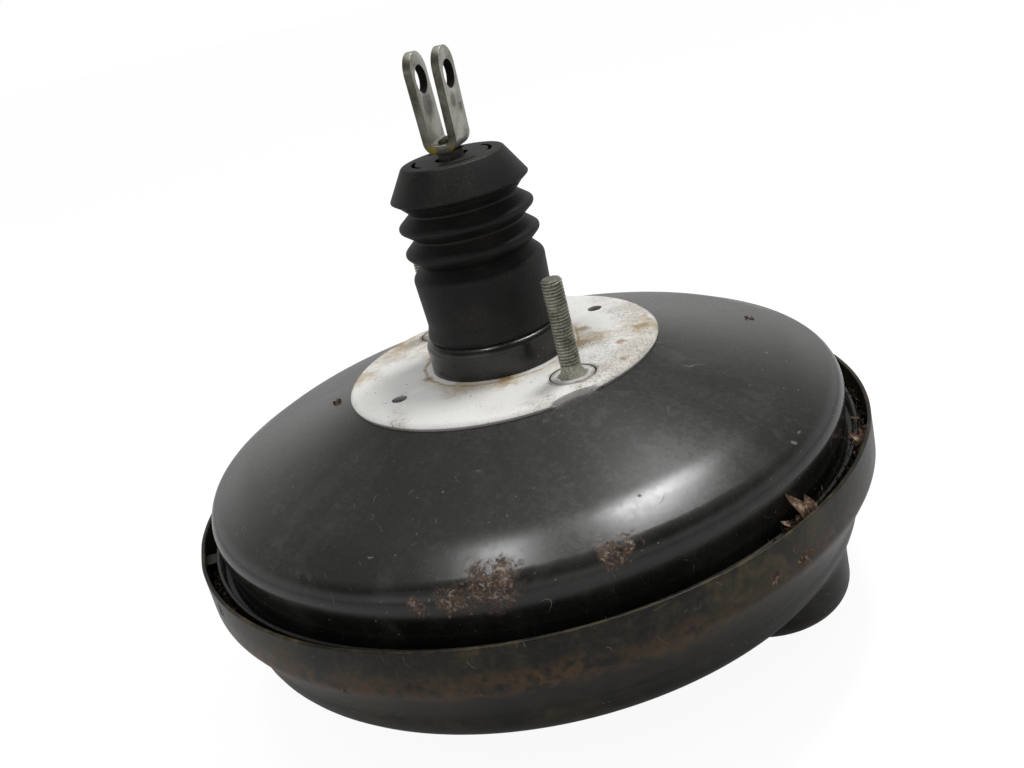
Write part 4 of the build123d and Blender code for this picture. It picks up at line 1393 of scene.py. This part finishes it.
# ---------------------------------------------------------------- boot
@dataclass
class DustBoot:
    """The rubber boot in three pieces: sleeve, folds and slotted cap."""

    wall: float = 1.6
    foot: float = 13.2
    foot_r: float = 26.7
    bulge_r: float = 27.1
    waist_r: float = 26.0
    waist_z: float = 19.0
    shoulder_r: float = 26.8
    shoulder_z: float = 38.9
    sleeve_bore: float = 24.7
    bore_top: float = 36.6
    folds: tuple[Point, ...] = ((22.0, 44.5), (27.9, 49.1), (21.7, 54.5), (28.0, 59.5), (21.3, 64.8))
    flange: Point = (27.7, 70.7)
    top: Point = (20.3, 82.6)
    cap_under: float = 79.8
    hub_bore: float = 8.64
    rod_gap: float = 5.5
    tail_bore: float = 19.3
    collar_low: float = 72.5
    slot_reach: float = 15.3
    slot_w: float = 1.5
    slot_sweep: float = 58.0
    slot_count: int = 4
    stroke: float = 24.0

    def build_sleeve(self) -> bpy.types.Object:
        """The straight part that grips the neck's tube.

        Returns:
            The sleeve.
        """
        outside = rounded(
            [(self.foot_r, self.foot), (self.bulge_r, self.foot + 1.6), (self.waist_r, self.waist_z),
             (self.shoulder_r, self.shoulder_z), (self.folds[0][0], self.folds[0][1] - 0.4)],
            [1.0, 5.0, 3.4],
        )
        joint = self.folds[0][1] - 0.4
        inside = [(self.folds[0][0] - self.wall, joint), (self.sleeve_bore, self.bore_top),
                  (self.sleeve_bore, self.foot)]
        return turned("boot_sleeve", outside + inside)

    def build_folds(self) -> bpy.types.Object:
        """The bellows between sleeve and cap.

        Returns:
            The folds.
        """
        low = (self.folds[0][0], self.folds[0][1] - 0.8)
        points = [low, *self.folds[1:], (self.flange[0] - 2.4, self.flange[1] - 1.6)]
        outside = rounded(points, [1.5, 0.9, 1.5, 0.9], 6)
        inside = [(r - self.wall, z) for r, z in reversed(outside)]
        return turned("boot_folds", outside + inside)

    def build_cap(self) -> bpy.types.Object:
        """The flared collar and the slotted end.

        Returns:
            The cap.
        """
        under = (self.flange[0] - 2.9, self.flange[1] - 2.1)
        outside = rounded([under, self.flange, self.top, (self.rod_gap, self.top[1])], [0.5, 1.6], 6)
        inside = [(self.rod_gap, self.cap_under), (self.tail_bore, self.cap_under),
                  (self.tail_bore, self.collar_low), (under[0] - self.wall, under[1])]
        piece = turned("boot_cap", outside + inside)
        for side in (-1, 1):
            section = bar(self.rod_gap, self.cap_under - 1, self.top[1] + 1)
            carve(piece, turned("rod_tool", section, 64, (0.0, side * (self.hub_bore - self.rod_gap))))
        for index in range(self.slot_count):
            start = 360 / self.slot_count * index
            section = [(self.slot_reach + side * self.slot_w / 2, self.cap_under + rise)
                       for side, rise in ((-1, -1), (1, -1), (1, 5), (-1, 5))]
            carve(piece, turned("slot_tool", section, sweep=(start, start + self.slot_sweep)))
        return piece

    def dress(self, sleeve: bpy.types.Object, folds: bpy.types.Object, cap: bpy.types.Object,
              finish: bpy.types.Material) -> None:
        """Seat the sleeve and the folds on the housing and the cap on the piston, and give the folds a mesh
        of their own.

        Args:
            sleeve: The sleeve.
            folds: The bellows.
            cap: The slotted end.
            finish: The rubber.
        """
        place_on(sleeve, "housing", ["dust_boot"], finish)
        place_on(folds, "housing", ["dust_boot"], finish)
        place_on(cap, "power_piston", ["dust_boot"], finish)
        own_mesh(folds)


# ---------------------------------------------------------------- clevis
@dataclass
class Clevis:
    """The strap folded to a U on the rod's end."""

    thick: float = 3.3
    wide: float = 16.0
    bottom: float = 85.2
    gap: float = 7.2
    splay: float = 1.0
    bend: float = 1.8
    top: float = 123.6
    pin_z: float = 113.0
    pin_r: float = 5.2
    bore_facets: int = 64
    ear_facets: int = 48

    def build(self) -> bpy.types.Object:
        """Fold the strap, round its ears and bore them.

        Returns:
            The clevis.
        """
        floor = self.bottom + self.thick
        lean = (self.top - floor) * math.tan(math.radians(self.splay))
        line = [(-self.gap / 2 - lean, self.top), (-self.gap / 2, floor), (self.gap / 2, floor),
                (self.gap / 2 + lean, self.top)]
        section = pressed(line, [self.bend, self.bend], self.thick)
        half = self.wide / 2
        ends = [[(x, side * half, z) for x, z in section] for side in (-1, 1)]
        piece = solid_between("clevis_strap", ends[0], ends[1])
        carve(piece, self._ear_tool(), "INTERSECT")
        carve(piece, self._bar("pin_tool", self.pin_r, self.pin_z))
        bevel(piece, 0.55, 3)
        return piece

    def _bar(self, name: str, radius: float, height: float) -> bpy.types.Object:
        """A round bar along X, through both ears.

        Args:
            name: Its name.
            radius: Its radius.
            height: The height of its axis.

        Returns:
            The bar.
        """
        rim = [polar(radius, 360 * index / self.bore_facets) for index in range(self.bore_facets)]
        return self._prism(name, [(y, height + z) for y, z, _ in rim])

    def _ear_tool(self) -> bpy.types.Object:
        """A block along X with a round top, as wide as the strap.

        Returns:
            The block.
        """
        half = self.wide / 2
        arch = [polar(half, 180 * index / self.ear_facets) for index in range(self.ear_facets + 1)]
        rim = [(y, self.top - half + z) for y, z, _ in arch]
        return self._prism("ear_tool", rim + [(-half, self.bottom - 1), (half, self.bottom - 1)])

    def _prism(self, name: str, rim: Sequence[Point]) -> bpy.types.Object:
        """A prism along X over an outline in the YZ plane.

        Args:
            name: Its name.
            rim: The outline as (y, z) points.

        Returns:
            The prism.
        """
        ends = [[(side * self.wide, y, z) for y, z in rim] for side in (-1, 1)]
        return solid_between(name, ends[0], ends[1])

    def dress(self, piece: bpy.types.Object, finish: bpy.types.Material) -> None:
        """Plate the clevis and seat it on the rod."""
        place_on(piece, "input_linkage", ["clevis"], finish)


# ---------------------------------------------------------------- dirt
@dataclass
class Crumbs:
    """Bits of dirt that lie on one ring sector of the housing."""

    name: str
    count: int
    angles: tuple[float, float]
    reaches: tuple[float, float]
    height: float
    slope: float
    size: float
    seed: int
    stretch: float = 1.0

    def build(self, finish: bpy.types.Material) -> bpy.types.Object:
        """Scatter small lumps over the sector.

        Args:
            finish: Their material.

        Returns:
            The lumps as one piece.
        """
        tree = Growth(self.name)
        size = tree.size("Size", self.size * MM)
        height = tree.size("Height", self.height * MM)
        finish_wire = tree.size("Finish", finish, "Material")
        low, high = (math.radians(angle) for angle in self.angles)
        turn = self._random(tree, low, high, 1)
        reach = self._random(tree, self.reaches[0] * MM, self.reaches[1] * MM, 2)
        rise = height - (reach - self.reaches[0] * MM) * self.slope
        spot = tree.join(reach * turn.call("COSINE"), reach * turn.call("SINE"), rise)
        points = tree.node("GeometryNodePoints", None, {"Count": self.count, "Position": spot})
        lump = tree.node("GeometryNodeMeshIcoSphere", None, {"Radius": 1.0, "Subdivisions": 2})
        spin = tree.node("FunctionNodeRandomValue", {"data_type": "FLOAT_VECTOR"},
                         {"Min": (0.0, 0.0, 0.0), "Max": (6.28, 6.28, 6.28), "Seed": self.seed + 3})
        girth = self._random(tree, 0.35, 1.0, 4)
        flat = self._random(tree, 0.25, 0.8, 5)
        scale = tree.join(girth * size * self.stretch, girth * flat * size, flat * size * 0.55)
        placed = tree.node("GeometryNodeInstanceOnPoints", None, {
            "Points": points.outputs[0], "Instance": lump.outputs[0], "Rotation": spin.outputs[0],
            "Scale": scale,
        })
        real = tree.node("GeometryNodeRealizeInstances", None, {0: placed.outputs[0]})
        noise = tree.node("ShaderNodeTexNoise", None, {"Scale": 1 / (self.size * MM), "Detail": 2.0})
        sockets = {0: noise.outputs["Color"], 1: (0.5, 0.5, 0.5)}
        push = tree.node("ShaderNodeVectorMath", {"operation": "SUBTRACT"}, sockets)
        shift = tree.node("ShaderNodeVectorMath", {"operation": "SCALE"}, {0: push.outputs[0], "Scale": size})
        sockets = {"Geometry": real.outputs[0], "Offset": shift.outputs[0]}
        rough = tree.node("GeometryNodeSetPosition", None, sockets)
        return tree.realise(rough.outputs[0], finish_wire, self.name)

    def _random(self, tree: Growth, low: float, high: float, salt: int) -> Wire:
        """A random number for each lump."""
        return tree.wire("FunctionNodeRandomValue", {"data_type": "FLOAT"},
                         {2: low, 3: high, "Seed": self.seed + salt}, 1)

    def dress(self, piece: bpy.types.Object) -> None:
        """Lay the dirt on the housing."""
        place_on(piece, "housing", [], None)


@dataclass
class Leaf:
    """A dry curled leaf that stands in the groove."""

    name: str
    reach: float
    angle: float
    foot: float
    long: float
    wide: float
    lean: float
    turn: float
    curl: float = 0.5
    thick: float = 0.25

    def build(self, finish: bpy.types.Material) -> bpy.types.Object:
        """Make the leaf from two skins of a pointed, curled outline, and stand it in the groove.

        Args:
            finish: Its material.

        Returns:
            The leaf.
        """
        rows, points = 15, 7
        vertices = []
        for skin in (0, 1):
            for row in range(rows):
                share = row / (rows - 1)
                half = self.wide / 2 * math.sin(math.pi * share ** 0.8) + 0.05
                for point in range(points):
                    way = point / (points - 1) * 2 - 1
                    bend = self.curl * way * way * half + 0.9 * math.sin(share * 5.0) + skin * self.thick
                    vertices.append((way * half, bend, share * self.long))
        size = rows * points
        faces = lattice(rows, points, False, False)
        faces += [tuple(size + index for index in face[::-1]) for face in faces]
        right = [row * points + points - 1 for row in range(rows)]
        left = [row * points for row in range(rows)]
        rim = list(range(points - 1)) + right + list(range(size - 2, size - points, -1)) + left[:0:-1]
        faces += [(rim[i - 1], rim[i], size + rim[i], size + rim[i - 1]) for i in range(len(rim))]
        piece = mesh_piece(self.name, vertices, faces)
        where = Matrix.Translation(Vector(polar(self.reach, self.angle, self.foot)) * MM)
        spin = Matrix.Rotation(math.radians(self.angle - 90 + self.turn), 4, "Z")
        spin = spin @ Matrix.Rotation(math.radians(self.lean), 4, "X")
        piece.data.transform(where @ spin)
        place_on(piece, "housing", [], finish)
        return piece


# ---------------------------------------------------------------- studio
@dataclass(frozen=True)
class Softbox:
    """A rectangular lamp, with places and sizes in metres and its power in watts."""

    name: str
    at: Place
    aim: Place
    size: Point
    power: float

    def hang(self) -> None:
        """Add the lamp to the scene."""
        data = bpy.data.lights.new(self.name, "AREA")
        data.shape = "RECTANGLE"
        data.size, data.size_y = self.size
        data.energy = self.power
        lamp = put(self.name, data)
        way = Vector(self.aim) - Vector(self.at)
        turn = way.to_track_quat("-Z", "Y").to_matrix().to_4x4()
        lamp.matrix_world = Matrix.Translation(Vector(self.at)) @ turn


@dataclass
class Studio:
    """Floor, lamps, world and camera, with the camera's place in millimetres and the floor in metres."""

    camera_at: Place = (166.9, -408.7, 159.7)
    camera_right: Place = (0.932, 0.280, -0.231)
    camera_down: Place = (-0.096, -0.424, -0.901)
    camera_ahead: Place = (-0.350, 0.862, -0.368)
    focal_px: float = 1141.1
    frame_px: float = 1024.0
    sensor: float = 36.0
    daylight: float = 0.50
    ceiling: float = 0.08
    horizon: float = 0.68
    mirror_steps: Point = (0.60, 0.20)
    floor_half: float = 6.0
    floor_gap: float = 0.0005
    floor_grey: float = 0.62
    floor_white: float = 1.16
    floor_seen: float = 0.8
    floor_mirrored: float = 0.05
    lamps: tuple[Softbox, ...] = (
        Softbox("softbox_right", (0.237, 0.276, 0.895), (0.08, -0.09, -0.02), (0.15, 0.32), 5.6),
        Softbox("softbox_left", (-0.151, -0.071, 0.959), (0.03, -0.12, -0.02), (0.20, 0.12), 1.9),
        Softbox("front_fill", (-0.35, -1.25, 0.55), (0.0, 0.0, 0.0), (1.1, 0.9), 1.1),
    )

    def build_camera(self) -> None:
        """Set the camera."""
        data = bpy.data.cameras.new("camera")
        data.sensor_width = self.sensor
        data.lens = self.focal_px / self.frame_px * self.sensor
        data.clip_start = 0.01
        camera = put("camera", data)
        up = -Vector(self.camera_down)
        back = -Vector(self.camera_ahead)
        axes = Matrix((self.camera_right, up, back)).transposed()
        camera.matrix_world = Matrix.Translation(Vector(self.camera_at) * MM) @ axes.to_4x4()
        bpy.context.scene.camera = camera

    def build_floor(self) -> None:
        """Lay a pale floor under the lowest point."""
        size = self.floor_half
        low = CAD_BOX[0][2] - self.floor_gap
        mesh = bpy.data.meshes.new("floor")
        mesh.from_pydata([(-size, -size, low), (size, -size, low), (size, size, low), (-size, size, low)],
                         [], [(0, 1, 2, 3)])
        floor = put("floor", mesh)
        paint = Paint("floor")
        rays = paint.node("ShaderNodeLightPath").outputs
        seen = Wire(paint, rays["Is Camera Ray"]) * self.floor_seen
        share = seen + Wire(paint, rays["Is Glossy Ray"]) * self.floor_mirrored
        matte = paint.node("ShaderNodeBsdfDiffuse", None, {"Color": (*[self.floor_grey] * 3, 1.0)})
        white = paint.node("ShaderNodeEmission", None, {"Color": WHITE, "Strength": self.floor_white})
        both = paint.node("ShaderNodeMixShader", None, {0: share, 1: matte.outputs[0], 2: white.outputs[0]})
        paint.node("ShaderNodeOutputMaterial", None, {"Surface": both.outputs[0]})
        mesh.materials.append(paint.material)

    def build_world(self) -> None:
        """A white room under a dark ceiling, dimmer as a light than as a background."""
        world = bpy.data.worlds.new("world")
        world.use_nodes = True
        sheet = Sheet(world.node_tree)
        rays = sheet.node("ShaderNodeLightPath").outputs
        seen = Wire(sheet, rays["Is Camera Ray"]).call("MAXIMUM", Wire(sheet, rays["Is Transmission Ray"]))
        glossy = Wire(sheet, rays["Is Glossy Ray"])
        _, _, height = sheet.split(sheet.node("ShaderNodeTexCoord").outputs["Generated"])
        mirrored = height.step(*self.mirror_steps) * (self.horizon - self.ceiling) + self.ceiling
        lit = glossy * mirrored + (1.0 - glossy) * self.daylight
        strength = seen + (1.0 - seen) * lit
        light = sheet.node("ShaderNodeBackground", None, {"Color": WHITE, "Strength": strength})
        sheet.node("ShaderNodeOutputWorld", None, {"Surface": light.outputs[0]})
        bpy.context.scene.world = world

    def build(self) -> None:
        """Build the whole studio."""
        self.build_camera()
        self.build_floor()
        self.build_world()
        for lamp in self.lamps:
            lamp.hang()
        bpy.context.scene.view_settings.view_transform = "Standard"


# ---------------------------------------------------------------- inner pieces
class Inner(Enum):
    """Finishes of the pieces that keep their own shape."""

    STEEL = Plain("bare_steel", (0.42, 0.41, 0.39), 0.35, 0.9)
    ROD = Plain("rod_steel", (0.075, 0.066, 0.048), 0.45, 0.7)
    SPRING = Plain("spring_steel", (0.20, 0.20, 0.21), 0.35, 0.9)
    RESIN = Plain("hub_resin", (0.030, 0.028, 0.026), 0.5)
    NYLON = Plain("black_nylon", (0.025, 0.025, 0.026), 0.42)
    RUBBER = Rubber("seal_rubber")
    FELT = Plain("filter_felt", (0.30, 0.28, 0.24), 0.95, 0.0, 0.6)


INNER_PIECES: dict[Inner, tuple[str, ...]] = {
    Inner.STEEL: ("front_plate", "seal_retainer", "diaphragm_plate", "stop_key", "output_rod",
                  "output_rod_screw", "control_plunger", "poppet_cup"),
    Inner.ROD: ("input_rod",),
    Inner.SPRING: ("output_rod_cap", "return_spring", "poppet_spring", "input_spring", "check_valve_spring"),
    Inner.RESIN: ("valve_body",),
    Inner.NYLON: ("neck_bearing", "filter_ring", "check_valve_body", "check_valve_cap"),
    Inner.RUBBER: ("neck_seal", "diaphragm", "reaction_disc", "poppet_valve", "vacuum_grommet",
                   "check_valve_disc"),
    Inner.FELT: ("air_filter", "silencer"),
}


def dress_inner() -> None:
    """Give every CAD node that shows as it is its finish."""
    for finish, names in INNER_PIECES.items():
        material = finish.value.material()
        for name in names:
            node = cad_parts[name]
            node.data.materials.clear()
            node.data.materials.append(material)
        log.info("%s on %d nodes", finish.name, len(names))


# ---------------------------------------------------------------- the whole booster
def build_housing() -> None:
    """Shells, plate and studs."""
    dome_rust = (
        Patch((26.0, -128.5, -28.5), 13.0), Patch((16.0, -130.5, -31.0), 8.5),
        Patch((33.0, -125.5, -27.0), 8.5), Patch((65.0, -112.5, -27.5), 7.5),
        Patch((70.5, -109.0, -27.0), 6.0), Patch((3.5, -132.0, -32.5), 5.0),
        Patch((-68.7, -21.9, -5.9), 2.0), Patch((71.7, -90.9, -20.6), 1.3),
    )
    dome_paint = BlackPaint("black_paint_dome", patches=dome_rust).material()
    skirt_rust = (
        Patch((119.0, -76.0, -56.0), 7.0), Patch((110.0, -88.0, -57.0), 4.5),
        Patch((-93.0, -105.0, -50.0), 5.0), Patch((20.0, -139.0, -61.0), 3.0),
        Patch((-30.0, -137.0, -61.0), 3.0),
    )
    skirt_paint = BlackPaint("black_paint_skirt", dust=(0.060, 0.049, 0.024), dusty=1.05, patches=skirt_rust,
                             settled=0.2, band=(-63.5, -57.0), gloss=0.30, shine=0.24, blotchy=1.1).material()
    rear = RearShell()
    rear.dress(rear.build(), dome_paint)
    front = FrontShell()
    front.dress([front.build(), front.build_bulge(), *front.build_tabs()], skirt_paint)
    plate = MountingPlate()
    stains = (Patch(polar(63, 160), 26.0), Patch(polar(64, -170), 14.0), Patch(polar(33, -100), 12.0),
              Patch(polar(33, -70), 10.0), Patch(polar(60, 12), 16.0), Patch(polar(40, 5), 10.0))
    burns = (Patch(polar(34.7, 26), 5.0), Patch(polar(33, 0), 5.0), Patch(polar(58, 12), 3.6),
             Patch(polar(32, -70), 4.2), Patch(polar(52, -4), 3.4), Patch(polar(60, -20), 2.8),
             Patch(polar(62, 158), 5.0), Patch(polar(33, -140), 3.4))
    # stud seats that get painted shade on the plate
    shaded_seats = (polar(STUD_REACH, STUD_ANGLE), polar(STUD_REACH, STUD_ANGLE + 180))
    plate_finish = PlateZinc("plate_zinc", patches=stains, burns=burns, shaded_seats=shaded_seats).material()
    plate.dress(plate.build(), plate_finish)
    foot = 4.0
    cone = [(0.0, -0.6), (5.4, -0.6), (5.4, 0.0), (4.0, 2.2), (4.0, foot + 0.2), (0.0, foot + 0.2)]
    plain = [(r, z - foot) for r, z in cone]
    firewall = Studs("firewall_stud", "firewall_studs", STUD_REACH, STUD_ANGLE, foot, 34.4, 1, plain)
    zinc = ThreadZinc("stud_zinc", firewall.reach, firewall.angle).material()
    firewall.dress(firewall.build(zinc), zinc)
    firewall.dress(firewall.build_flanges(radius=8.6, thick=2.0), plate_finish)
    foot = -102.0
    shank = [
        (0.0, -5.6), (7.0, -5.6), (7.0, -3.6), (4.6, -3.6), (4.6, -2.0), (4.0, -2.0), (4.0, 0.2), (0.0, 0.2),
    ]
    master = Studs("master_cylinder_stud", "master_cylinder_studs", 41.0, 79.0, foot, 20.0, -1, shank)
    zinc = ThreadZinc("master_stud_zinc", master.reach, master.angle).material()
    master.dress(master.build(zinc), zinc)


def build_boot_and_clevis() -> None:
    """The rubber boot and the clevis on the rod."""
    boot = DustBoot()
    boot.dress(boot.build_sleeve(), boot.build_folds(), boot.build_cap(), Rubber("boot_rubber").material())
    clevis = Clevis()
    tints = (Patch((-4.0, -8.0, 86.5), 3.0), Patch((4.5, -8.0, 86.5), 1.5))
    stains = (Patch((-4.3, 0.0, 103.5), 6.0), Patch((7.6, -2.0, 103.0), 3.5), Patch((7.6, 4.0, 100.0), 3.0))
    finish = ClevisZinc("clevis_zinc", clevis.pin_z, clevis.pin_r, tints=tints, stains=stains)
    clevis.dress(clevis.build(), finish.material())


def build_dirt() -> None:
    """Dirt in the groove and on the dome."""
    grime = Grime("grime").material()
    heaps = (
        Crumbs("groove_dirt", 420, (-150.0, 20.0), (135.8, 139.2), -53.0, 0.0, 1.1, 11),
        Crumbs("groove_heap", 150, (-37.0, -23.0), (134.0, 139.2), -50.5, 0.0, 2.2, 23),
        Crumbs("groove_leaves", 26, (-32.5, -27.5), (133.8, 138.4), -47.0, 0.0, 1.5, 29, 2.6),
        Crumbs("groove_heap_right", 60, (-9.0, 2.0), (134.0, 138.8), -49.5, 0.0, 2.4, 37),
        Crumbs("groove_straw", 90, (-38.0, 16.0), (134.2, 137.6), -48.5, 0.0, 0.45, 61, 13.0),
        Crumbs("dome_clod_left", 9, (-163.6, -161.0), (70.5, 74.0), -5.2, 0.32, 1.5, 41),
        Crumbs("dome_clod_back", 9, (26.7, 28.7), (103.5, 107.5), -16.2, 0.33, 1.5, 53),
    )
    for heap in heaps:
        heap.dress(heap.build(grime))
    dry = Grime("dry_leaf", (0.10, 0.055, 0.032), (0.42, 0.31, 0.21)).material()
    leaves = (
        Leaf("leaf_tall", 137.4, -29.6, -48.0, 12.5, 5.6, 22.0, 14.0),
        Leaf("leaf_low", 136.4, -26.9, -49.0, 8.0, 4.0, 30.0, -35.0, 0.8),
        Leaf("leaf_left", 136.8, -31.6, -49.0, 6.5, 4.0, 34.0, 40.0, 0.3),
        Leaf("leaf_far", 137.0, -6.0, -49.0, 7.5, 3.4, 26.0, -20.0),
        Leaf("leaf_back", 136.6, 2.0, -49.5, 6.5, 3.0, 30.0, 30.0),
    )
    for leaf in leaves:
        leaf.build(dry)


def main() -> None:
    """Build the studio and the booster's pieces in order."""
    logging.basicConfig(level=logging.INFO)
    Studio().build()
    build_housing()
    build_boot_and_clevis()
    build_dirt()
    dress_inner()


if __name__ == "__main__":
    main()
